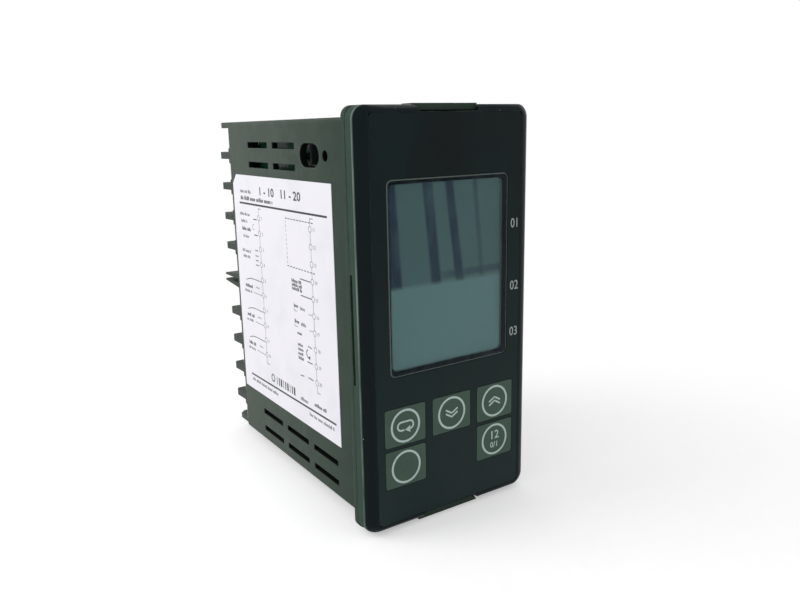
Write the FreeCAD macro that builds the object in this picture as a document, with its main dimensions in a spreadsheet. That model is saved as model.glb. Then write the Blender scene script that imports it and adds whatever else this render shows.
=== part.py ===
"""Panel-mount temperature controller, 48 x 96 mm front, draw-out front unit.

Frame: +X to the right seen from the front, +Y into the panel, +Z up.
Origin: centre of the bezel, on the plane where its flange meets the panel.
"""

import FreeCAD, Part
import os
import re
import Sketcher

Vector = FreeCAD.Vector

# Driving dimensions, in millimetres: alias, value, meaning.
SIZES = [
    ("bezel_wide", 48.0, "front outline, across"),
    ("bezel_tall", 96.0, "front outline, up"),
    ("bezel_deep", 6.0, "front face to panel plane"),
    ("bezel_corner", 2.4, "radius of the outline corners"),
    ("crown_flank", 3.0, "width of the rounding along the long edges"),
    ("crown_ends", 1.5, "width of the rounding along the short edges"),
    ("crown_deep", 1.6, "depth of the rounding"),
    ("flange_thick", 1.5, "case flange that lies on the panel"),
    ("seam", 0.1, "parting line between flange and front unit"),
    ("flange_side", 1.8, "case flange past the case, at each side"),
    ("flange_end", 2.3, "case flange past the case, above and below"),
    ("case_deep", 67.6, "panel plane to the rear edge of the side walls"),
    ("case_wall", 1.8, "case wall"),
    ("case_corner", 1.2, "radius along the case's long edges"),
    ("visor_deep", 10.0, "top and bottom plates past the side walls"),
    ("visor_thick", 1.6, "top and bottom plates"),
    ("visor_cut", 1.6, "cut corners of those plates"),
    ("vent_long", 12.7, "vent slot length"),
    ("vent_tall", 1.5, "vent slot height"),
    ("vent_pitch", 15.65, "vent slots, one to the next along the case"),
    ("vent_rear", 48.3, "centre of the rearmost vent slot"),
    ("vent_row_gap", 5.2, "one vent row to the next"),
    ("vent_upper_edge", 6.2, "top vent row below the top of the case"),
    ("vent_lower_edge", 9.2, "upper row of the lower vent group above the bottom of the case"),
    ("port_y", 18.5, "setup port centre, behind the panel"),
    ("port_edge", 8.3, "setup port centre below the top of the case"),
    ("port_long", 9.8, "setup port opening, along the case"),
    ("port_tall", 5.6, "setup port opening, up"),
    ("peep_y", 10.8, "small round hole beside the port"),
    ("peep_radius", 1.3, "radius of that hole"),
    ("latch_wide", 7.0, "panel bracket windows, across"),
    ("latch_long", 3.2, "panel bracket windows, along the case"),
    ("latch_edge", 10.2, "panel bracket windows, in from the side of the case"),
    ("latch_y", 30.0, "panel bracket windows, behind the panel"),
    ("rail_start", 14.5, "front end of the board rails"),
    ("rail_long", 38.0, "length of the board rails"),
    ("rail_thick", 1.0, "board rail ribs"),
    ("rail_tall", 2.4, "board rail ribs, in from the wall"),
    ("tongue_wide", 15.4, "lock tongue at its root, across"),
    ("tongue_flare", 1.2, "lock tongue, wider at the outside by this each side"),
    ("tongue_deep", 4.6, "lock tongue, forward of the panel plane"),
    ("tongue_top_rise", 0.3, "upper lock tongue above the bezel's edge"),
    ("tongue_bottom_rise", 0.9, "lower lock tongue below the bezel's edge"),
    ("notch_deep", 1.45, "lock notches in the bezel's short edges"),
    ("notch_gap", 0.2, "gap round a lock tongue"),
    ("pry_long", 25.0, "pry slots in the bezel's sides"),
    ("pry_tall", 0.85, "pry slots, along the depth"),
    ("pry_deep", 1.2, "pry slots, into the side"),
    ("label_front", 8.3, "front edge of the side label"),
    ("label_long", 58.0, "side label along the case"),
    ("label_edge", 14.3, "side label, in from the top and bottom of the case"),
    ("label_cut", 2.6, "cut corner of the side label"),
    ("label_thick", 0.12, "side label"),
    ("cell_start", 1.2, "first terminal cell above the middle"),
    ("cell_end", 0.5, "last terminal cell to the outside of the case"),
    ("barrier_thick", 1.95, "terminal barriers"),
    ("barrier_deep", 7.8, "terminal barriers past the side walls"),
    ("barrier_round", 1.0, "rounded corners of the barriers"),
    ("middle_deep", 10.5, "barrier at the middle, past the side walls"),
    ("root_tall", 4.4, "thick foot of each barrier, up"),
    ("root_deep", 1.2, "thick foot of each barrier, past the side walls"),
    ("root_wide", 1.0, "thick foot of each barrier, across"),
    ("block_deep", 3.6, "terminal block inside the case"),
    ("block_gap", 0.1, "gap round a terminal block in the case"),
    ("floor_deep", 1.8, "terminal floor past the side walls"),
    ("spine_gap", 1.5, "raised middle of a terminal block to the plates"),
    ("spine_deep", 5.0, "raised middle of a terminal block, past the side walls"),
    ("plate_wide", 8.2, "terminal plate, across"),
    ("plate_play", 0.275, "terminal plate to the barriers, each side"),
    ("plate_thick", 1.0, "terminal plate"),
    ("plate_edge", 1.0, "terminal plate, in from the side of the case"),
    ("tab_gap", 0.15, "gap round a contact tab in its slot"),
    ("web_thick", 0.8, "contact tab through the terminal block"),
    ("fork_long", 8.5, "prongs of the forked contact"),
    ("fork_tall", 3.0, "forked contact, up"),
    ("fork_thick", 0.4, "each prong of the contact"),
    ("fork_gap", 0.05, "prong to board, and screw to plate"),
    ("arm_thick", 0.6, "arm from the contact tab to its fork"),
    ("arm_gap", 0.3, "that arm to the board's rear edge"),
    ("washer_inset", 0.15, "square washer, in from the edges of its plate"),
    ("washer_thick", 0.8, "square washer"),
    ("screw_radius", 1.75, "terminal screw thread"),
    ("screw_long", 4.6, "terminal screw under its head"),
    ("head_gap", 0.325, "terminal screw head to the barriers"),
    ("head_tall", 2.4, "terminal screw head"),
    ("skin_thick", 2.0, "front wall of the bezel"),
    ("skirt_gap", 0.3, "front unit's skirt to the case, all round"),
    ("skirt_wall", 1.0, "wall of the skirt"),
    ("skirt_long", 12.0, "skirt behind the panel plane"),
    ("seal_thick", 1.2, "front seal, square section"),
    ("seal_gap", 0.15, "front seal in its groove, each side"),
    ("seal_inset", 1.0, "front seal groove, out from the skirt"),
    ("sheet_thick", 0.25, "printed front sheet"),
    ("sheet_gap", 0.05, "front sheet in its recess"),
    ("sheet_edge_gap", 0.1, "front sheet recess, in from the crown and ends"),
    ("sheet_corner", 1.0, "corner radius of the front sheet"),
    ("window_side", 7.0, "display window, in from each side of the bezel"),
    ("window_top", 15.4, "display window, down from the top of the bezel"),
    ("window_above", 11.8, "display window's lower edge above the upper key row"),
    ("window_thick", 1.5, "display window"),
    ("window_bevel", 0.65, "bevelled edge of the display window"),
    ("window_corner", 1.4, "corner radius of the display window"),
    ("window_gap", 0.05, "display window in its opening"),
    ("ledge", 1.2, "ledge that carries the display window"),
    ("key_side", 5.15, "outer keys, in from each side of the bezel"),
    ("key_tall", 9.05, "key, up"),
    ("key_apart", 2.2, "between two keys, across"),
    ("key_bottom", 14.8, "lower key row above the bottom of the bezel"),
    ("key_row_apart", 1.05, "between the two key rows"),
    ("key_gap", 0.15, "gap round a key"),
    ("key_proud", 0.1, "key above the front sheet"),
    ("key_corner", 0.5, "corner radius of a key"),
    ("key_rim", 0.35, "rim behind the wall that holds a key in"),
    ("key_rim_thick", 0.6, "that rim, along the depth"),
    ("key_free", 0.05, "rim to wall, and stem to button"),
    ("stem_side", 3.6, "square stem behind a key"),
    ("button_radius", 1.5, "switch button"),
    ("button_tall", 0.8, "switch button above its housing"),
    ("button_sunk", 0.4, "switch button inside its housing"),
    ("button_travel", 0.6, "room behind a switch button"),
    ("button_gap", 0.06, "switch button to its housing"),
    ("switch_side", 6.0, "switch housing"),
    ("switch_tall", 3.4, "switch housing"),
    ("board_thick", 1.6, "circuit boards"),
    ("board_y", 2.0, "front face of the display board"),
    ("board_inset", 0.4, "display board to the skirt, all round"),
    ("glass_thick", 2.1, "liquid crystal cell"),
    ("glass_lap", 0.5, "liquid crystal cell past the window, each side"),
    ("glass_end", 0.85, "liquid crystal cell past the window, above and below"),
    ("glass_gap", 0.1, "play round the cell, and behind the bezel wall"),
    ("frame_rim", 1.0, "display frame round the cell, each side"),
    ("frame_end", 1.9, "display frame round the cell, above and below"),
    ("guide_inset", 1.0, "light guide, in from the cell's sides"),
    ("guide_end", 2.3, "light guide, in from the cell's ends"),
    ("guide_thick", 2.4, "light guide"),
    ("led_pitch", 10.0, "backlight lamps, one to the next"),
    ("led_side", 3.0, "backlight lamp, across"),
    ("led_deep", 1.2, "backlight lamp, along the depth"),
    ("strip_side", 2.5, "elastomer contact strip, in from the cell's sides"),
    ("strip_gap", 0.45, "elastomer contact strip to the light guide and to the cell's end"),
    ("clip_wide", 4.0, "clips that hold the display board, across"),
    ("clip_x", 8.0, "clips that hold the display board, from the middle"),
    ("clip_tall", 0.9, "clips, in from the skirt"),
    ("clip_thick", 1.2, "clip noses behind the board"),
    ("long_board_edge", 3.7, "outer face of each long board, in from the side of the case"),
    ("long_board_start", 4.4, "front edge of the long boards"),
    ("long_board_rear", 5.0, "rear edge of the long boards, ahead of the side walls' rear edge"),
    ("long_board_inset", 3.4, "long boards, in from the top and bottom of the case"),
    ("socket_long", 9.0, "setup socket, along the case"),
    ("socket_tall", 5.8, "setup socket, up"),
    ("socket_deep", 7.0, "setup socket, across"),
    ("socket_reach", 1.2, "setup socket outside its board"),
    ("socket_wall", 0.6, "setup socket wall"),
    ("socket_gap", 0.1, "setup socket in its board"),
    ("socket_pin", 0.5, "setup socket pins, square"),
    ("socket_pin_long", 1.8, "setup socket pins"),
    ("socket_pin_pitch", 1.6, "setup socket pins, one to the next"),
    ("socket_floor", 1.2, "setup socket floor"),
    ("chip_side", 14.0, "microcontroller"),
    ("chip_thick", 1.6, "microcontroller"),
    ("header_wide", 4.5, "board headers, across"),
    ("header_deep", 5.0, "board headers, along the depth"),
    ("header_tall", 34.0, "board headers, up"),
    ("core_wide", 15.0, "transformer core, across"),
    ("core_deep", 10.0, "transformer core, along the depth"),
    ("core_tall", 20.0, "transformer core, up"),
    ("core_limb", 2.4, "limbs of the transformer core"),
    ("coil_deep", 16.0, "transformer coil, along the depth"),
    ("coil_gap", 0.1, "coil to core"),
    ("core_y", 30.0, "transformer centre behind the panel"),
    ("core_z", -4.0, "transformer centre, up"),
    ("can_radius", 5.0, "supply capacitors"),
    ("can_long", 14.0, "supply capacitors"),
    ("can_y", 48.0, "supply capacitors behind the panel"),
    ("can_z", 10.0, "lower supply capacitor, up"),
    ("can_pitch", 12.0, "one supply capacitor to the next"),
    ("choke_radius", 6.2, "noise choke ring"),
    ("choke_bore", 2.4, "radius of the hole in the noise choke"),
    ("choke_thick", 4.4, "noise choke ring, out from the board"),
    ("choke_edge", 14.3, "noise choke above the lower end of its board"),
    ("sink_wide", 11.0, "heat sink fins, out from the board"),
    ("sink_thick", 1.4, "heat sink plate and fins"),
    ("sink_tall", 16.0, "heat sink, up"),
    ("sink_pitch", 4.0, "heat sink fins, one to the next"),
    ("sink_y", 22.0, "first heat sink fin behind the panel"),
    ("sink_z", 20.0, "heat sink centre, up"),
    ("relay_wide", 12.5, "output relays, out from the board"),
    ("relay_deep", 10.0, "output relays, along the depth"),
    ("relay_tall", 20.0, "output relays, up"),
    ("relay_y", 48.0, "output relays behind the panel"),
    ("relay_pitch", 30.0, "one output relay to the next"),
    ("optic_wide", 3.6, "input and output chips, out from the board"),
    ("optic_side", 7.0, "input and output chips, along the board"),
    ("optic_pitch", 13.0, "one chip to the next"),
    ("brace_y", 52.5, "board brace behind the panel"),
    ("brace_deep", 2.0, "board brace, along the depth"),
    ("brace_tall", 8.0, "board brace, up"),
]

# Lengths that follow from the driving dimensions: name, expression.
DERIVED = [
    ("case_wide", "bezel_wide - 2 * flange_side"),
    ("case_tall", "bezel_tall - 2 * flange_end"),
    ("vent_upper", "case_tall / 2 - vent_upper_edge"),
    ("vent_lower", "case_tall / 2 - vent_lower_edge"),
    ("port_z", "case_tall / 2 - port_edge"),
    ("latch_x", "case_wide / 2 - latch_edge"),
    ("label_tall", "case_tall - 2 * label_edge"),
    ("cell_pitch", "(case_tall / 2 - cell_start - cell_end) / 5"),
    ("cell_first", "cell_start + cell_pitch / 2"),
    ("plate_tall", "cell_pitch - barrier_thick - 2 * plate_play"),
    ("washer_side", "plate_tall - 2 * washer_inset"),
    ("head_radius", "(cell_pitch - barrier_thick) / 2 - head_gap"),
    ("spine_wide", "case_wide - 2 * (plate_edge + plate_wide + spine_gap)"),
    ("key_wide", "(bezel_wide - 2 * key_side - 2 * key_apart) / 3"),
    ("key_x_pitch", "key_wide + key_apart"),
    ("key_z_pitch", "key_tall + key_row_apart"),
    ("key_upper", "bezel_tall / 2 - key_bottom - key_z_pitch"),
    ("window_wide", "bezel_wide - 2 * window_side"),
    ("window_tall", "bezel_tall / 2 - window_top + key_upper - window_above"),
    ("window_z", "(bezel_tall / 2 - window_top - key_upper + window_above) / 2"),
    ("glass_wide", "window_wide + 2 * glass_lap"),
    ("glass_tall", "window_tall + 2 * glass_end"),
    ("frame_wide", "glass_wide + 2 * frame_rim"),
    ("frame_tall", "glass_tall + 2 * frame_end"),
    ("guide_wide", "glass_wide - 2 * guide_inset"),
    ("guide_tall", "glass_tall - 2 * guide_end"),
    ("strip_wide", "glass_wide - 2 * strip_side"),
    ("strip_thick", "guide_end - 2 * strip_gap"),
    ("long_board_x", "case_wide / 2 - long_board_edge"),
    ("long_board_tall", "case_tall - 2 * long_board_inset"),
    ("long_board_end", "case_deep - long_board_rear"),
    ("choke_z", "choke_edge - long_board_tall / 2"),
]

DOC = FreeCAD.newDocument("temperature_controller")
SHEET = DOC.addObject("Spreadsheet::Sheet", "Sizes")
FOLLOWERS = DOC.addObject("App::VarSet", "Followers")
OWNERS = {alias: "Sizes" for alias, value, meaning in SIZES}
OWNERS.update({name: "Followers" for name, text in DERIVED})
WORD = re.compile(r"[a-z][a-z_0-9]*")
PLANES = {"front": "XZ_Plane", "side": "YZ_Plane", "level": "XY_Plane"}

# Places that many pieces share, as expressions.
FRONT = "(-bezel_deep)"
BACK_OF_SKIN = "(skin_thick - bezel_deep)"
PANEL_REAR = "(-flange_thick - seam)"
CASE_X = "(case_wide / 2)"
CASE_Z = "(case_tall / 2)"
MOUTH_X = "(case_wide / 2 - case_wall)"
MOUTH_Z = "(case_tall / 2 - case_wall)"
SKIRT_X = "(case_wide / 2 - case_wall - skirt_gap)"
SKIRT_Z = "(case_tall / 2 - case_wall - skirt_gap)"
INSIDE_X = "(case_wide / 2 - case_wall - skirt_gap - skirt_wall)"
INSIDE_Z = "(case_tall / 2 - case_wall - skirt_gap - skirt_wall)"
LONG_BOARD_IN = "(long_board_x - board_thick)"
FLOOR_Y = "(case_deep + floor_deep)"
GLASS_Y = "(skin_thick - bezel_deep + glass_gap)"

# Keys by name: column (-1, 0, 1) and row (0 is the upper one).
KEYS = {
    "mode": (-1, 0),
    "level": (-1, 1),
    "down": (0, 0),
    "up": (1, 0),
    "function": (1, 1),
}


def bound(text):
    """Turn the size names in an expression into references to their owners."""
    return WORD.sub(lambda word: f"{OWNERS[word.group()]}.{word.group()}", text)


def follow(item, target, text):
    """Make a property of a document object follow an expression."""
    item.setExpression(target, bound(text))


def fill_sheet():
    """Write the driving dimensions into the spreadsheet and bind what follows them."""
    for row, (alias, value, meaning) in enumerate(SIZES, start=1):
        SHEET.set(f"A{row}", meaning)
        SHEET.set(f"B{row}", str(value))
        SHEET.setAlias(f"B{row}", alias)
    for name, text in DERIVED:
        FOLLOWERS.addProperty("App::PropertyFloat", name)
        follow(FOLLOWERS, name, text)
    DOC.recompute()


def size(name):
    """Read one driving or following dimension back from the document."""
    if OWNERS[name] == "Sizes":
        return float(SHEET.get(name))
    return getattr(FOLLOWERS, name)


def constrain(sketch, kind, items, text):
    """Add a dimension to a sketch as drawn, then make it follow an expression."""
    if kind == "Radius":
        drawn = sketch.Geometry[items[0]].Radius
    else:
        spot = sketch.getPoint(items[2], items[3])
        drawn = spot.x if kind == "DistanceX" else spot.y
    index = sketch.addConstraint(Sketcher.Constraint(kind, *items, drawn))
    name = f"size_{index}"
    sketch.renameConstraint(index, name)
    follow(sketch, f"Constraints.{name}", text)


def add_polygon(sketch, points):
    """Add a closed polygon whose corners follow pairs of expressions."""
    first = sketch.GeometryCount
    count = len(points)
    ring = Part.makeCircle(10.0).discretize(Number=count + 1)
    for step in range(count):
        sketch.addGeometry(Part.LineSegment(ring[step], ring[step + 1]))
    for step in range(count):
        follower = first + (step + 1) % count
        sketch.addConstraint(Sketcher.Constraint("Coincident", first + step, 2, follower, 1))
    for step, (across, up) in enumerate(points):
        constrain(sketch, "DistanceX", (-1, 1, first + step, 1), across)
        constrain(sketch, "DistanceY", (-1, 1, first + step, 1), up)


def add_rectangle(sketch, centre_x, centre_y, wide, tall):
    """Add a rectangle given by its centre and sides."""
    left = f"{centre_x} - ({wide}) / 2"
    right = f"{centre_x} + ({wide}) / 2"
    low = f"{centre_y} - ({tall}) / 2"
    high = f"{centre_y} + ({tall}) / 2"
    add_polygon(sketch, [(left, low), (right, low), (right, high), (left, high)])


def add_circle(sketch, centre_x, centre_y, radius):
    """Add a circle given by its centre and radius."""
    index = sketch.addGeometry(Part.Circle(Vector(1, 1, 0), Vector(0, 0, 1), 1.0))
    constrain(sketch, "DistanceX", (-1, 1, index, 3), centre_x)
    constrain(sketch, "DistanceY", (-1, 1, index, 3), centre_y)
    constrain(sketch, "Radius", (index,), radius)


class Moulding:
    """A PartDesign body whose sketches and features follow the sheet."""

    def __init__(self, label):
        """Start an empty body with its own label."""
        self.body = DOC.addObject("PartDesign::Body", label)
        self.body.Label = label

    def origin_part(self, role):
        """Find one of the body's own origin planes or axes."""
        return next(item for item in self.body.Origin.OriginFeatures if item.Role == role)

    def sketch(self, name, plane, place="0"):
        """Start a sketch on an origin plane moved to a place on its axis."""
        sketch = self.body.newObject("Sketcher::SketchObject", name)
        sketch.AttachmentSupport = (self.origin_part(PLANES[plane]), [""])
        sketch.MapMode = "FlatFace"
        facing = "-" if plane == "front" else ""
        follow(sketch, "AttachmentOffset.Base.z", f"{facing}({place})")
        return sketch

    def grow(self, name, sketch, length, sign=1):
        """Pad a sketch along (+1) or against (-1) its world axis."""
        pad = self.body.newObject("PartDesign::Pad", name)
        pad.Profile = sketch
        follow(pad, "Length", length)
        along = sign > 0
        pad.Reversed = along if self.on_front(sketch) else not along
        return pad

    def cut(self, name, sketch, length, sign=1):
        """Pocket a sketch along (+1) or against (-1) its world axis."""
        pocket = self.body.newObject("PartDesign::Pocket", name)
        pocket.Profile = sketch
        follow(pocket, "Length", length)
        along = sign > 0
        pocket.Reversed = not along if self.on_front(sketch) else along
        return pocket

    @staticmethod
    def on_front(sketch):
        """Tell whether a sketch lies on the front plane, which faces -Y."""
        return sketch.AttachmentSupport[0][0].Role == PLANES["front"]

    def box(self, name, centre_x, centre_z, wide, tall, start, length, grow=True):
        """Pad or pocket a rectangle of the front plane towards +Y."""
        sketch = self.sketch(f"{name}_outline", "front", start)
        add_rectangle(sketch, centre_x, centre_z, wide, tall)
        action = self.grow if grow else self.cut
        return action(name, sketch, length)

    def round_edges(self, name, radius, test):
        """Fillet the edges of the current shape that pass a test."""
        return self.dress(name, "PartDesign::Fillet", "Radius", radius, test)

    def bevel_edges(self, name, width, test):
        """Chamfer the edges of the current shape that pass a test."""
        return self.dress(name, "PartDesign::Chamfer", "Size", width, test)

    def dress(self, name, kind, target, text, test):
        """Add a fillet or chamfer to the edges that pass a test."""
        DOC.recompute()
        base = self.body.Tip
        edges = [f"Edge{number}" for number, edge in enumerate(base.Shape.Edges, start=1) if test(edge)]
        feature = self.body.newObject(kind, name)
        feature.Base = (base, edges)
        follow(feature, target, text)
        return feature

    def repeat(self, name, features, role, pitch, count):
        """Repeat features along one of the body's axes."""
        pattern = self.body.newObject("PartDesign::LinearPattern", name)
        pattern.Originals = features
        pattern.Direction = (self.origin_part(role), [""])
        pattern.Occurrences = count
        follow(pattern, "Length", f"{pitch} * {count - 1}")
        self.body.Tip = pattern
        return pattern


def runs_along(edge, axis):
    """Tell whether an edge is straight and parallel to an axis."""
    if edge.Curve.TypeId != "Part::GeomLine":
        return False
    return abs(abs(edge.tangentAt(edge.FirstParameter).dot(axis)) - 1) < 1e-6


def corner_test(half_x, half_z, centre_z=0.0):
    """Make a test for edges along Y at the corners of a front outline."""
    def test(edge):
        """Check one edge against the outline's corners."""
        spot = edge.CenterOfMass
        at_x = abs(abs(spot.x) - half_x) < 1e-3
        at_z = abs(abs(spot.z - centre_z) - half_z) < 1e-3
        return at_x and at_z and runs_along(edge, Vector(0, 1, 0))
    return test


def add_box(name, centre, sides):
    """Add a Part box from expressions of its centre and sides."""
    box = DOC.addObject("Part::Box", name)
    for target, text in zip(("Length", "Width", "Height"), sides):
        follow(box, target, text)
    for axis, middle, side in zip("xyz", centre, sides):
        follow(box, f"Placement.Base.{axis}", f"{middle} - ({side}) / 2")
    return box


def add_cylinder(name, base, radius, length, towards):
    """Add a Part cylinder from expressions, pointing along a vector."""
    cylinder = DOC.addObject("Part::Cylinder", name)
    follow(cylinder, "Radius", radius)
    follow(cylinder, "Height", length)
    cylinder.Placement.Rotation = FreeCAD.Rotation(Vector(0, 0, 1), towards)
    for axis, text in zip("xyz", base):
        follow(cylinder, f"Placement.Base.{axis}", text)
    return cylinder


def add_cut(label, base, tool):
    """Cut one Part object with another."""
    cut = DOC.addObject("Part::Cut", label)
    cut.Label = label
    cut.Base = base
    cut.Tool = tool
    return cut


def add_group(label, members, kind="Part::Compound"):
    """Join Part objects: a compound keeps them apart, a fuse makes them one."""
    group = DOC.addObject(kind, label)
    group.Label = label
    setattr(group, "Links" if kind == "Part::Compound" else "Shapes", members)
    return group


def add_shape(label, shape):
    """Add a shape made by Part's own functions as a sub-part."""
    feature = DOC.addObject("Part::Feature", label)
    feature.Label = label
    feature.Shape = shape
    return feature


def cut_vents(case):
    """Cut the two groups of vent slots through both side walls."""
    slots = case.sketch("vent_outline", "side", CASE_X)
    for top_row, columns in (("vent_upper", 2), ("(-vent_lower)", 3)):
        for row in range(2):
            for column in range(columns):
                along = f"vent_rear - {column} * vent_pitch"
                up = f"{top_row} - {row} * vent_row_gap"
                add_rectangle(slots, along, up, "vent_long", "vent_tall")
    case.cut("vents", slots, "case_wide", -1)


def cut_setup_port(case):
    """Cut the round-ended setup port and the round hole beside it in the left wall."""
    straight = "(port_long - port_tall)"
    middle = case.sketch("port_middle_outline", "side", "case_wall - case_wide / 2")
    add_rectangle(middle, "port_y", "port_z", straight, "port_tall")
    add_circle(middle, "peep_y", "port_z", "peep_radius")
    case.cut("port_middle", middle, "case_wall", -1)
    for name, sign in (("port_front_end", -1), ("port_rear_end", 1)):
        end = case.sketch(f"{name}_outline", "side", "case_wall - case_wide / 2")
        add_circle(end, f"port_y + {sign} * {straight} / 2", "port_z", "port_tall / 2")
        case.cut(name, end, "case_wall", -1)


def add_rails(case):
    """Add the pairs of ribs that guide the long boards."""
    rails = case.sketch("rail_outline", "front", "rail_start")
    board_middle = "(long_board_x - board_thick / 2)"
    apart = "(board_thick / 2 + rail_thick / 2 + key_gap)"
    for side in (-1, 1):
        for face in (-1, 1):
            for end in (-1, 1):
                across = f"{side} * ({board_middle} + {face} * {apart})"
                up = f"{end} * ({MOUTH_Z} - rail_tall / 2)"
                add_rectangle(rails, across, up, "rail_thick", "rail_tall")
    case.grow("rails", rails, "rail_long")


def add_tongue(case, name, end, rise):
    """Add one lock tongue, wider at its free edge than at its root."""
    root = f"{end} * (bezel_tall / 2 - notch_deep + notch_gap)"
    free = f"{end} * (bezel_tall / 2 + {rise})"
    narrow = "(tongue_wide / 2)"
    wide = "(tongue_wide / 2 + tongue_flare)"
    outline = case.sketch(f"{name}_outline", "front", "-tongue_deep")
    add_polygon(outline, [(f"-{narrow}", root), (narrow, root), (wide, free), (f"-{wide}", free)])
    case.grow(name, outline, "tongue_deep")


def build_rear_case():
    """Mould the case: flange, four walls, terminal plates, vents, port and rails."""
    case = Moulding("rear_case")
    case.box("walls", "0", "0", "case_wide", "case_tall", "0", "case_deep")
    half_x = size("case_wide") / 2
    half_z = size("case_tall") / 2
    case.round_edges("wall_corners", "case_corner", corner_test(half_x, half_z))
    case.box("flange", "0", "0", "bezel_wide", "bezel_tall", "-flange_thick", "flange_thick")
    half_x = size("bezel_wide") / 2
    half_z = size("bezel_tall") / 2
    case.round_edges("flange_corners", "bezel_corner", corner_test(half_x, half_z))
    case.box("mouth", "0", "0", f"2 * {MOUTH_X}", f"2 * {MOUTH_Z}",
             "-flange_thick", "flange_thick + case_deep", grow=False)
    for name, end in (("top_visor", 1), ("bottom_visor", -1)):
        visor = case.sketch(f"{name}_outline", "level", f"{end} * case_tall / 2")
        half = f"({CASE_X} - case_corner)"
        rear = "(case_deep + visor_deep)"
        add_polygon(visor, [(f"-{half}", "case_deep - case_wall"), (half, "case_deep - case_wall"),
                            (half, f"{rear} - visor_cut"), (f"{half} - visor_cut", rear),
                            (f"visor_cut - {half}", rear), (f"-{half}", f"{rear} - visor_cut")])
        case.grow(name, visor, "visor_thick", -end)
    cut_vents(case)
    cut_setup_port(case)
    windows = case.sketch("latch_outline", "level", CASE_Z)
    for side in (-1, 1):
        add_rectangle(windows, f"{side} * latch_x", "latch_y", "latch_wide", "latch_long")
    case.cut("latch_windows", windows, "case_tall", -1)
    add_rails(case)
    add_tongue(case, "upper_tongue", 1, "tongue_top_rise")
    add_tongue(case, "lower_tongue", -1, "tongue_bottom_rise")
    return case.body


def build_terminal_block(label):
    """Mould one terminal block: base, floor, spine, barriers and pockets for tabs and screws."""
    block = Moulding(label)
    low = "block_gap"
    high = f"({MOUTH_Z} - block_gap)"
    middle = f"(({low} + {high}) / 2)"
    tall = f"({high} - {low})"
    plug_wide = f"2 * ({MOUTH_X} - block_gap)"
    plate_out = f"({CASE_X} - plate_edge)"
    block.box("plug", "0", middle, plug_wide, tall, "case_deep - block_deep", "block_deep")
    block.box("floor", "0", middle, f"2 * {plate_out}", tall, "case_deep", "floor_deep")
    block.box("spine", "0", middle, "spine_wide", tall, "case_deep", "spine_deep")
    middle_barrier = block.sketch("middle_outline", "side", f"-{CASE_X}")
    centre = "(cell_first - cell_pitch / 2)"
    thin = "(barrier_thick / 3)"
    tip = "case_deep + middle_deep"
    add_polygon(middle_barrier, [("case_deep", f"{centre} - {thin}"), (tip, f"{centre} - {thin}"),
                                 (tip, centre), ("case_deep", f"{centre} + barrier_thick / 2")])
    block.grow("middle_barrier", middle_barrier, "case_wide")
    first_up = "(cell_first + cell_pitch / 2)"
    barrier = block.box("barrier", "0", first_up, "case_wide", "barrier_thick", "case_deep", "barrier_deep")
    root_x = f"({CASE_X} - root_wide / 2)"
    roots = block.sketch("root_outline", "front", "case_deep")
    for side in (-1, 1):
        add_rectangle(roots, f"{side} * {root_x}", first_up, "root_wide", "root_tall")
    root = block.grow("root", roots, "root_deep")
    block.repeat("barriers", [barrier, root], "Z_Axis", "cell_pitch", 4)
    openings = block.sketch("pocket_outline", "front", "case_deep - block_deep")
    inner = f"({plate_out} - plate_wide - tab_gap)"
    outer = f"({plate_out} - plate_wide / 2 + screw_radius + tab_gap)"
    for side in (-1, 1):
        add_rectangle(openings, f"{side} * ({inner} + {outer}) / 2", "cell_first",
                      f"{outer} - {inner}", "2 * (screw_radius + tab_gap)")
    pockets = block.cut("pockets", openings, "block_deep + floor_deep")
    block.repeat("cells", [pockets], "Z_Axis", "cell_pitch", 5)
    reach_z = size("case_deep") + size("barrier_deep")

    def barrier_corner(edge):
        """Check for the four outer corners of each even barrier."""
        spot = edge.CenterOfMass
        at_side = abs(abs(spot.x) - size("case_wide") / 2) < 1e-3
        return at_side and abs(spot.y - reach_z) < 1e-3 and runs_along(edge, Vector(0, 0, 1))

    block.round_edges("barrier_corners", "barrier_round", barrier_corner)
    return block.body


def cell_places():
    """List side (-1 left, 1 right) and height of all twenty terminals."""
    heights = [size("cell_first") + step * size("cell_pitch") for step in range(5)]
    return [(side, end * height) for side in (-1, 1) for end in (-1, 1) for height in heights]


def copy_to_cells(label, shape):
    """Place a shape made for the right side at height 0 into every terminal."""
    copies = []
    for side, height in cell_places():
        placed = shape.copy()
        if side < 0:
            placed.rotate(Vector(0, 0, 0), Vector(0, 1, 0), 180)
        placed.translate(Vector(0, 0, height))
        copies.append(placed)
    return add_shape(label, Part.makeCompound(copies))


def span_box(low, high):
    """Make a box between two opposite corners."""
    low = Vector(*low)
    sides = Vector(*high) - low
    return Part.makeBox(sides.x, sides.y, sides.z, low)


def terminal_axis():
    """Give the distance of the terminal screws from the middle plane."""
    return size("case_wide") / 2 - size("plate_edge") - size("plate_wide") / 2


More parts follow.
